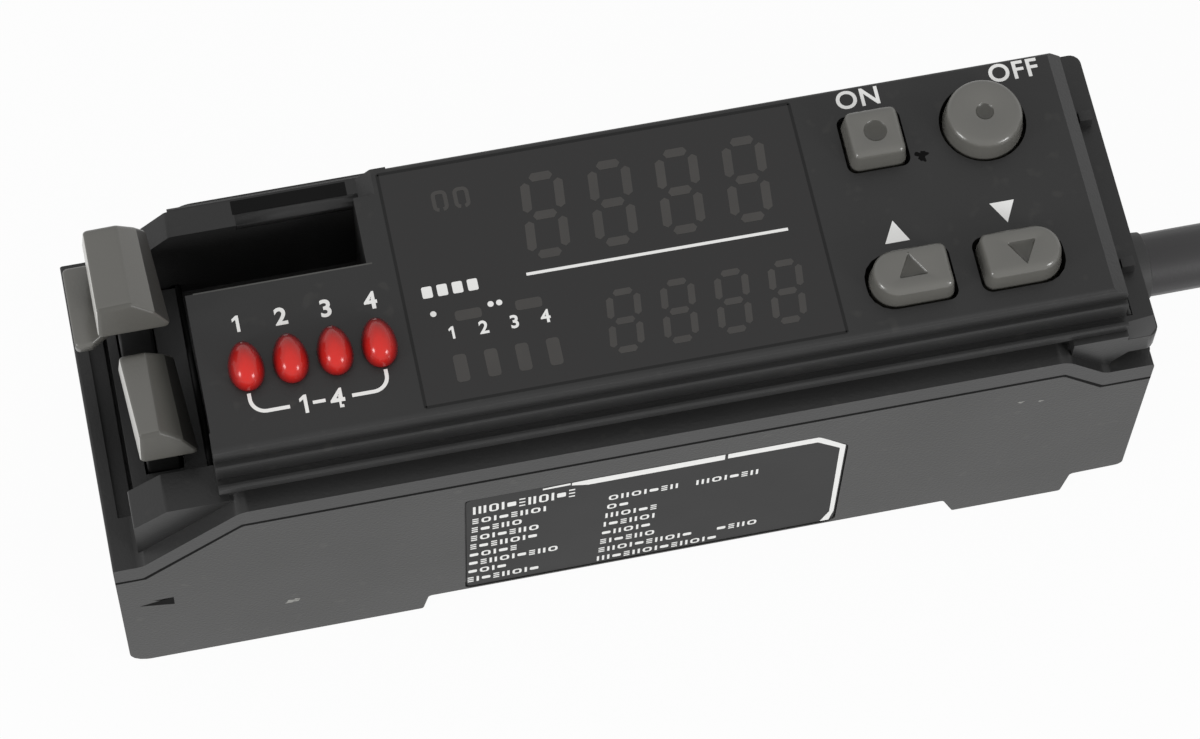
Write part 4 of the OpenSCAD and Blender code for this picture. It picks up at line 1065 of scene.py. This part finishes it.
@dataclass
class OutputLight:
    """One red light cap: an egg-shaped dome on a round stem.

    Attributes:
        number: its number from the fibre end.
        x: its middle along X, in millimetres.
        y: its middle along Y.
        half_x: half its width.
        half_y: half its length.
        height: height above the panel.
        lean: how far the apex lies behind the middle.
        taper: how much narrower the outline is at its back end.
        panel: height of the panel.
        stem_z: height of the stem's foot.
        stem_r: radius of the stem.
    """

    number: int
    x: float
    y: float = -3.34
    half_x: float = 1.13
    half_y: float = 1.72
    height: float = 1.65
    lean: float = -0.3
    taper: float = 0.12
    panel: float = 26.2
    stem_z: float = 20.6
    stem_r: float = 0.75

    def build(self) -> bpy.types.Object:
        """Make the cap: rings of radius cos a at height sin a, each moved back by lean times its height.

        Returns:
            The cap.
        """
        _, disc = circle(48)
        foot = self.panel - 0.02
        rings = [at_height(disc * 0.02, self.stem_z), at_height(disc * self.stem_r, self.stem_z),
                 at_height(disc * self.stem_r, foot)]
        egg = disc * (self.half_x, self.half_y)
        egg[:, 0] *= 1 - self.taper * disc[:, 1]
        rings += [at_height(egg * math.cos(a) + (0, self.lean * math.sin(a)), foot + self.height * math.sin(a))
                  for a in np.radians(np.linspace(0, 89, 16))]
        verts = (np.concatenate(rings) + (self.x, self.y, 0)) * MM
        piece = new_piece(f"light_cap_{self.number}", verts, capped_grid(len(rings), len(disc)), LENS)
        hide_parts(f"output_light_{self.number}")
        return piece


@dataclass
class Print:
    """Flat marks printed on a face: characters, strokes and blocks, all a hundredth of a millimetre thick or so.

    Attributes:
        name: name of the piece.
        face: face that carries the marks.
        level: height of the panel, or place of the front side, in millimetres.
        finish: ink.
        depth: thickness of the ink in millimetres.
        verts: points of each mark so far, in the plane of the print.
        faces: corner numbers of each face so far.
        count: number of points so far.
    """

    name: str
    face: Face
    level: float
    finish: Finish
    depth: float = 0.02
    verts: list[np.ndarray] = field(default_factory=list)
    faces: list[list[int]] = field(default_factory=list)
    count: int = 0

    def add(self, points: np.ndarray, faces: list[list[int]]) -> None:
        """Add faces drawn in the plane of the print.

        Args:
            points: points in the plane, in millimetres.
            faces: corner numbers, anticlockwise.
        """
        self.verts.append(np.asarray(points, float))
        self.faces += [[i + self.count for i in f] for f in faces]
        self.count += len(points)

    def outline(self, points: np.ndarray) -> None:
        """Add one filled outline, given anticlockwise."""
        self.add(points, [list(range(len(points)))])

    def stroke(self, line: np.ndarray | list[tuple[float, float]], width: float) -> None:
        """Add a stroke: two rows of points, half the width to each side of a line.

        Args:
            line: points along its middle, in millimetres.
            width: its width.
        """
        line = np.asarray(line, float)
        way = np.gradient(line, axis=0)
        way /= np.linalg.norm(way, axis=1)[:, None]
        side = np.column_stack([-way[:, 1], way[:, 0]]) * width / 2
        n = len(line)
        self.add(np.concatenate([line - side, line + side]), [[i, i + 1, n + i + 1, n + i] for i in range(n - 1)])

    def characters(self, text: str, middle: tuple[float, float], height: float, bold: float = 0.0,
                   spread: float = 1.0) -> None:
        """Add characters, set as text and made a mesh.

        Args:
            text: what is written.
            middle: middle of the text in the plane.
            height: height of its capitals.
            bold: how far each outline is fattened.
            spread: spacing of the characters.
        """
        data = bpy.data.curves.new("text", "FONT")
        data.body = text
        data.size = height / 0.7
        data.offset = bold
        data.space_character = spread
        data.resolution_u = 6
        temp = bpy.data.objects.new("text", data)
        bpy.context.scene.collection.objects.link(temp)
        bpy.context.view_layer.update()
        mesh = bpy.data.meshes.new_from_object(temp.evaluated_get(bpy.context.evaluated_depsgraph_get()))
        points = np.empty(len(mesh.vertices) * 3)
        mesh.vertices.foreach_get("co", points)
        flat = points.reshape(-1, 3)[:, :2]
        flat += np.array(middle) - (flat.min(0) + flat.max(0)) / 2
        self.add(flat, [list(p.vertices) for p in mesh.polygons])
        bpy.data.objects.remove(temp)
        bpy.data.meshes.remove(mesh)

    def one(self, middle: tuple[float, float], height: float) -> None:
        """Add a figure 1 with its flag.

        Args:
            middle: middle of the figure in the plane.
            height: its height.
        """
        shape = [(0.0, -0.5), (0.18, -0.5), (0.18, 0.5), (0.04, 0.5), (-0.2, 0.32), (-0.2, 0.14), (0.0, 0.26)]
        self.outline(np.array(shape) * height + middle)

    def numbers(self, places: tuple[float, float, float, float], middle: float, height: float, bold: float) -> None:
        """Add the figures 1 to 4 in a row.

        Args:
            places: X of each figure's middle.
            middle: their place across the row.
            height: their height.
            bold: how far the figures 2 to 4 are fattened.
        """
        self.one((places[0], middle), height)
        for i, x in enumerate(places[1:]):
            self.characters(str(i + 2), (x, middle), height, bold=bold)

    def build(self) -> bpy.types.Object:
        """Make the piece: the marks moved to their face and thickened.

        Returns:
            The print.
        """
        flat = np.concatenate(self.verts)
        level = np.full(len(flat), self.level)
        columns = [flat[:, 0], flat[:, 1], level] if self.face is Face.TOP else [flat[:, 0], level, flat[:, 1]]
        piece = new_piece(self.name, np.column_stack(columns) * MM, self.faces, self.finish, smooth=False)
        thick = piece.modifiers.new("ink", "SOLIDIFY")
        thick.thickness = self.depth * MM
        thick.offset = 1.0
        return piece


@dataclass(frozen=True)
class Digit:
    """One display digit of seven bars, and the row of four that it stands in.

    Attributes:
        x: X of the first digit's middle, in millimetres.
        y: Y of the row's middle.
        pitch: distance between digits.
        width: width of a digit.
        height: height of a digit.
        bar: thickness of a bar.
        gap: gap between bars.
        slant: shift to the right for each unit of height.
    """

    x: float
    y: float
    pitch: float
    width: float
    height: float
    bar: float
    gap: float
    slant: float

    def bars(self) -> list[np.ndarray]:
        """Return the seven bars as hexagons round the digit's middle: three across, then two on each side.

        Returns:
            Seven outlines, anticlockwise.
        """
        hw, hh = self.width / 2 - self.bar / 2, self.height / 2 - self.bar / 2
        ends = [((-hw, s * hh), (hw, s * hh)) for s in (-1, 0, 1)]
        ends += [((sx * hw, y0), (sx * hw, y0 + hh)) for sx in (-1, 1) for y0 in (-hh, 0)]
        made = []
        for a, b in ends:
            a, b = np.array(a, float), np.array(b, float)
            way = (b - a) / np.linalg.norm(b - a)
            a, b = a + way * self.gap, b - way * self.gap
            side = np.array([-way[1], way[0]]) * self.bar / 2
            tip = way * self.bar * 0.35
            shape = np.array([a, a + tip - side, b - tip - side, b, b - tip + side, a + tip + side])
            made.append(np.column_stack([shape[:, 0] + self.slant * shape[:, 1], shape[:, 1]]))
        return made

    def place(self, number: int) -> tuple[float, float]:
        """Return the middle of one digit of the row, counted from 0."""
        return self.x + self.pitch * number, self.y


@dataclass
class Display:
    """What shows in the smoked window: unlit digits and bars, and the prints on the window.

    Attributes:
        top: height of the window.
        upper: upper row of digits.
        lower: lower row of digits.
    """

    top: float = 26.2
    upper: Digit = Digit(-3.24, 3.47, 4.37, width=2.75, height=6.05, bar=0.6, gap=0.3, slant=0.09)
    lower: Digit = Digit(0.2, -4.78, 3.47, width=2.2, height=4.4, bar=0.45, gap=0.24, slant=0.12)

    def unlit(self) -> bpy.types.Object:
        """Make the unlit segments and bars.

        Returns:
            One piece with all of them.
        """
        marks = Print("unlit_segments", Face.TOP, self.top, SEGMENT, depth=0.01)
        for i in range(4):
            for row in (self.upper, self.lower):
                for bar in row.bars():
                    marks.outline(bar + row.place(i))
            marks.outline(rounded_outline(0.42, 0.95, (0.2,) * 4, 3) + (-10.47 + 1.97 * i, -6.03))
        for x in (-9.35, -5.5):
            marks.outline(rounded_outline(0.85, 0.36, (0.2,) * 4, 3) + (x, -2.47))
        for x in (-9.6, -8.2):
            marks.stroke(rounded_outline(0.38, 0.62, (0.25,) * 4, 5) + (x, 5.68), 0.26)
        return marks.build()

    def prints(self) -> bpy.types.Object:
        """Make the line, the plain numbers and the plain marks on the window.

        Returns:
            One piece with all of them.
        """
        marks = Print("window_prints", Face.TOP, self.top, PALE)
        marks.stroke([(-5.24, -0.45), (11.63, -0.52)], 0.2)
        marks.numbers((-10.6, -8.58, -6.62, -4.65), -3.53, 0.86, 0.03)
        for i in range(4):
            marks.outline(rounded_outline(0.33, 0.4, (0.1,) * 4, 3) + (-11.6 + 0.97 * i, -0.5))
        for x in (-11.5, -7.85, -7.3):
            marks.outline(rounded_outline(0.2, 0.2, (0.2,) * 4, 4) + (x, -2.05))
        return marks.build()

    def build(self) -> list[bpy.types.Object]:
        """Make everything in the window."""
        return [self.unlit(), self.prints()]


@dataclass
class PanelPrints:
    """White prints on the control panel: numbers, brackets, key names and arrows.

    Attributes:
        top: height of the panel.
        bracket_middle: X and Y of the middle of the two brackets, in millimetres.
        bracket_r: radius of a bracket's bend.
        arrows: corners of the triangle over each arrow key.
    """

    top: float = 26.2
    bracket_middle: tuple[float, float] = (-19.43, -6.56)
    bracket_r: float = 0.95
    arrows: tuple[tuple[tuple[float, float], ...], ...] = (
        ((17.43, -2.76), (19.04, -2.76), (18.26, -1.22)), ((24.6, -1.24), (25.43, -2.74), (26.2, -1.24)))

    def brackets(self, marks: Print) -> None:
        """Add the brackets under the lights: straight, a quarter circle and straight again, and its mirror image.

        Args:
            marks: print that gets them.
        """
        a = np.radians(np.linspace(180, 270, 12))
        bend = np.stack([-3.35 + self.bracket_r * np.cos(a), self.bracket_r + self.bracket_r * np.sin(a)], 1)
        bracket = np.concatenate([[(-4.3, 1.36)], bend, [(-1.95, 0.0)]])
        for side in (1, -1):
            marks.stroke(bracket[::side] * (side, 1) + self.bracket_middle, 0.24)

    def build(self) -> list[bpy.types.Object]:
        """Make the prints.

        Returns:
            One piece with all of them.
        """
        marks = Print("panel_prints", Face.TOP, self.top, PALE)
        marks.numbers((-23.7, -20.87, -18.03, -15.2), -0.34, 1.14, 0.045)
        self.brackets(marks)
        middle = self.bracket_middle[1]
        marks.one((-20.5, middle), 1.25)
        marks.stroke([(-19.95, middle), (-19.15, middle)], 0.22)
        marks.characters("4", (-18.4, middle), 1.25, bold=0.05)
        marks.characters("ON", (18.1, 7.8), 1.25, bold=0.03, spread=1.1)
        marks.characters("OFF", (28.45, 7.85), 1.25, bold=0.03, spread=1.1)
        for points in self.arrows:
            marks.outline(np.array(points))
        return [marks.build()]


@dataclass
class SurfaceMarks:
    """Thin marks on the mouldings: chips, a smudge, a dark joint, painted shadow in the seam and over a recess, a
    painted highlight on an edge and a painted lit facet.

    Attributes:
        top: height of the panel, in millimetres.
        front: Y of the body's front side.
        chips: X, Z and size of each pale chip on the front side.
        smudge_at: X and Y of the smudge, a dark blot, beside the square key.
        seam: X and Z of the seam's corners.
        seam_w: width of the seam's painted shadow.
        recess: corners of the painted shade that stands for the recess in the top of the wall behind the pocket.
        recess_z: its height.
        highlight_ends: ends of the painted highlight along the back edge of the output block.
        window: least X, greatest X and half the width of the window.
        facet: corners of the painted light on the lit facet of the step at the cable end.
        facet_z: its height.
    """

    top: float = 26.2
    front: float = -11.0
    chips: tuple[tuple[float, float, float], ...] = (
        (-22.92, 5.53, 0.32), (-22.6, 5.75, 0.16), (25.34, 16.47, 0.15), (26.71, 16.12, 0.13))
    smudge_at: tuple[float, float] = (21.2, 2.95)
    seam: tuple[tuple[float, float], ...] = (
        (-34.0, 13.7), (-32.1, 13.7), (-25.5, 19.4), (27.9, 19.4), (30.7, 16.6), (34.0, 16.6))
    seam_w: float = 0.32
    recess: tuple[tuple[float, float], ...] = ((-22.6, 7.75), (-15.2, 7.75), (-15.2, 8.72), (-22.6, 8.72))
    recess_z: float = 25.2
    highlight_ends: tuple[tuple[float, float], ...] = ((-26.0, 2.2), (-14.6, 2.2))
    window: tuple[float, float, float] = (-13.17, 13.67, 8.27)
    facet: tuple[tuple[float, float], ...] = (
        (32.0, -10.36), (33.4, -10.36), (33.9, -9.9), (33.95, -9.0), (32.0, -9.2))
    facet_z: float = 22.0

    def chip_marks(self) -> bpy.types.Object:
        """Make the pale chips: each is a flat oval whose reach swings with sin 3a and sin 7a.

        Returns:
            One piece with all of them.
        """
        marks = Print("case_chips", Face.FRONT, self.front, CHIP, depth=0.004)
        a, disc = circle(24)
        for x, z, size in self.chips:
            reach = size * (1 + 0.3 * np.sin(3 * a + x) + 0.2 * np.sin(7 * a))
            marks.outline(disc * reach[:, None] * (1.3, 0.7) + (x, z))
        return marks.build()

    def smudge(self) -> bpy.types.Object:
        """Make the smudge: a dark blot whose reach swings with sin 3a, sin 5a and sin 9a.

        Returns:
            The smudge.
        """
        marks = Print("panel_smudge", Face.TOP, self.top, SMUDGE_AND_SHADE, depth=0.004)
        a, disc = circle(40)
        reach = 0.36 + 0.1 * np.sin(3 * a) + 0.07 * np.sin(5 * a + 1) + 0.04 * np.sin(9 * a)
        marks.outline(disc * reach[:, None] + self.smudge_at)
        return marks.build()

    def seam_shadow(self) -> bpy.types.Object:
        """Make the painted shadow in the seam, and the small sunk triangle near the fibre end painted dark as shade.

        Returns:
            One piece with both.
        """
        marks = Print("seam_shadow", Face.FRONT, self.front, SMUDGE_AND_SHADE, depth=0.003)
        marks.stroke(np.array(self.seam) + (0, 0.1), self.seam_w)
        marks.outline(np.array([(-32.75, 9.35), (-30.5, 8.75), (-30.5, 9.95)]))
        return marks.build()

    def window_joint(self) -> bpy.types.Object:
        """Make the dark joint round the window, one stroke for each side.

        Returns:
            The joint.
        """
        x0, x1, y = self.window
        marks = Print("window_joint", Face.TOP, self.top, FRAME, depth=0.004)
        for a, b in (((x0, -y), (x0, y)), ((x1, -y), (x1, y)), ((x0, -y), (x1, -y)), ((x0, y), (x1, y))):
            marks.stroke([a, b], 0.2)
        return marks.build()

    def painted_edge_highlight(self) -> bpy.types.Object:
        """Make the painted highlight along the back edge of the output block.

        Returns:
            The line.
        """
        marks = Print("painted_edge_highlight", Face.TOP, self.top, PAINTED_HIGHLIGHT, depth=0.004)
        marks.stroke(self.highlight_ends, 0.1)
        return marks.build()

    @staticmethod
    def patch(name: str, corners: tuple[tuple[float, float], ...], z: float, finish: Finish) -> bpy.types.Object:
        """Make one flat patch.

        Args:
            name: name of the piece.
            corners: X and Y of its corners, in millimetres.
            z: its height.
            finish: its finish.

        Returns:
            The patch.
        """
        marks = Print(name, Face.TOP, z, finish, depth=0.004)
        marks.outline(np.array(corners))
        return marks.build()

    def build(self) -> list[bpy.types.Object]:
        """Make all marks."""
        return [self.chip_marks(), self.smudge(), self.seam_shadow(),
                self.patch("recess_shade", self.recess, self.recess_z, SHADE), self.painted_edge_highlight(), self.window_joint(),
                self.patch("step_facet", self.facet, self.facet_z, FACET)]


@dataclass
class LabelPrints:
    """Pale prints on the side sticker: its margin, and rows of plain blocks in the place of its lines of print.

    Attributes:
        level: place of the sticker's outer side, in millimetres.
        right: X of the sticker's edge on the cable side.
        top: height of its upper edge.
        bottom: height of its lower edge.
        left_ends: X where each row of the left column ends, from the top.
        right_ends: X where each row of the right column ends.
        gap: gap between two marks of a row.
    """

    level: float = -10.95
    right: float = 13.9
    top: float = 16.7
    bottom: float = 2.3
    left_ends: tuple[float, ...] = (-5.57, -7.5, -6.48, -6.6, -7.39, -5.34, -8.3, -6.48)
    right_ends: tuple[float, ...] = (3.0, -0.34, 1.48, 1.59, 1.48, 1.36, 4.4, 6.25)
    gap: float = 0.2

    def margin(self, marks: Print) -> None:
        """Add the margin: broad along the top, slanted over the cut corner and thin down the edge.

        Args:
            marks: print that gets the margin.
        """
        r, t, b = self.right, self.top, self.bottom
        for outline in (
                [(-6.2, t - 0.42), (-4.4, t - 0.38), (-4.4, t - 0.1), (-6.2, t - 0.2)],
                [(-4.3, t - 0.5), (-3.2, t - 0.85), (-3.2, t - 0.08), (-4.3, t - 0.12)],
                [(-3.2, t - 0.85), (5.75, t - 0.85), (5.75, t - 0.08), (-3.2, t - 0.08)],
                [(5.95, t - 0.75), (11.9, t - 0.8), (12.0, t - 0.05), (5.95, t - 0.08)],
                [(11.9, t - 0.8), (r - 0.42, t - 2.35), (r - 0.05, t - 2.05), (12.0, t - 0.05)],
                [(r - 0.42, t - 2.35), (r - 0.35, b + 1.5), (r - 0.05, b + 1.5), (r - 0.05, t - 2.05)],
                [(r - 0.35, b + 1.5), (r - 0.9, b + 0.06), (r - 0.3, b + 0.06), (r - 0.05, b + 1.5)]):
            marks.outline(np.array(outline))

    @staticmethod
    def mark(marks: Print, kind: Mark, left: float, middle: float, height: float) -> None:
        """Add one plain mark.

        Args:
            marks: print that gets it.
            kind: which mark it is.
            left: X of its left side, in millimetres.
            middle: height of its middle.
            height: its height.
        """
        h, width, pen = height / 2, kind.value, min(0.17, height * 0.2)
        centre = (left + width / 2, middle)
        if kind is Mark.RING:
            ring = rounded_outline(width / 2 - pen / 2, h - pen / 2, (0.16,) * 4, 3)
            marks.stroke(np.concatenate([ring, ring[:1]]) + centre, pen)
        elif kind is Mark.BARS:
            for x in (left + pen / 2, left + width - pen / 2):
                marks.stroke([(x, middle - h), (x, middle + h)], pen)
        elif kind is Mark.DASHES:
            for z in (middle - h + pen / 2, middle, middle + h - pen / 2):
                marks.stroke([(left, z), (left + width, z)], pen)
        elif kind is Mark.BLOCK:
            marks.outline(rounded_outline(width / 2, h * 0.55, (0.1,) * 4, 3) + centre)
        else:
            marks.stroke([(centre[0], middle - h), (centre[0], middle + h)], pen)

    def row(self, marks: Print, start: float, end: float, middle: float, height: float) -> None:
        """Add one row of plain marks, in an order that depends on where the row starts.

        Args:
            marks: print that gets the row.
            start: X where the row starts, in millimetres.
            end: X where it ends.
            middle: height of its middle.
            height: height of its marks.
        """
        kinds = list(Mark)
        left, number = start, round(abs(start + 3 * middle) * 7)
        while left < end - 0.3:
            kind = kinds[number % len(kinds)]
            self.mark(marks, kind, left, middle, height)
            left += kind.value + self.gap
            number += 1 + (number * 3) % 4

    def build(self) -> list[bpy.types.Object]:
        """Make the margin and the rows.

        Returns:
            One piece with all of them.
        """
        marks = Print("label_prints", Face.FRONT, self.level, PALE, depth=0.012)
        self.margin(marks)
        self.row(marks, -10.75, -3.75, 14.95, 1.2)
        for i, end in enumerate(self.left_ends):
            self.row(marks, -10.8 - 0.05 * i, end, 13.2 - 1.4 * i, 0.8)
        for i, end in enumerate(self.right_ends):
            self.row(marks, -1.8 - 0.08 * i, end, 13.0 - 1.43 * i, 0.75)
        self.row(marks, 4.0, 8.3, 12.9, 0.75)
        self.row(marks, 5.8, 8.3, 4.4, 0.75)
        return [marks.build()]


def main() -> None:
    """Build the studio, the cable, then each sub-assembly in order."""
    logging.basicConfig(level=logging.INFO, format="%(name)s: %(message)s")
    Studio().build()
    pieces = [Cable().build()]
    casing = Casing()
    casing.dress()
    pieces += [OutputLight(i + 1, -23.6 + 2.8 * i).build() for i in range(4)]
    pieces += [
        Key("mode_button", "mode_key", KeyShape.SQUARE, 18.4, 4.55, 1.85, 1.85, 0, 0.75).build(),
        Key("set_button", "set_key", KeyShape.ROUND, 25.6, 4.55, 2.6, 2.6, 0, 0.58).build(),
        Key("up_button", "up_key", KeyShape.LEFT_ROUND, 18.4, -5.4, 2.62, 1.72, 1).build(),
        Key("down_button", "down_key", KeyShape.RIGHT_ROUND, 25.6, -5.4, 2.62, 1.72, -1).build()]
    pieces += Display().build()
    pieces += PanelPrints().build()
    pieces += SurfaceMarks().build()
    pieces += LabelPrints().build()
    pieces += casing.build()
    pieces += Lever("front_lock_lever", "front_lever", -29.6, -3.75, 25.8, end_shade_from=0.4,
                    fibre_side=(-1.45, -1.8)).build()
    pieces += Lever("back_lock_lever", "back_lever", -29.95, 3.3, 29.8, tab=True).build()
    for piece in pieces:
        log.info("built %s", piece.name)


if __name__ == "__main__":
    main()
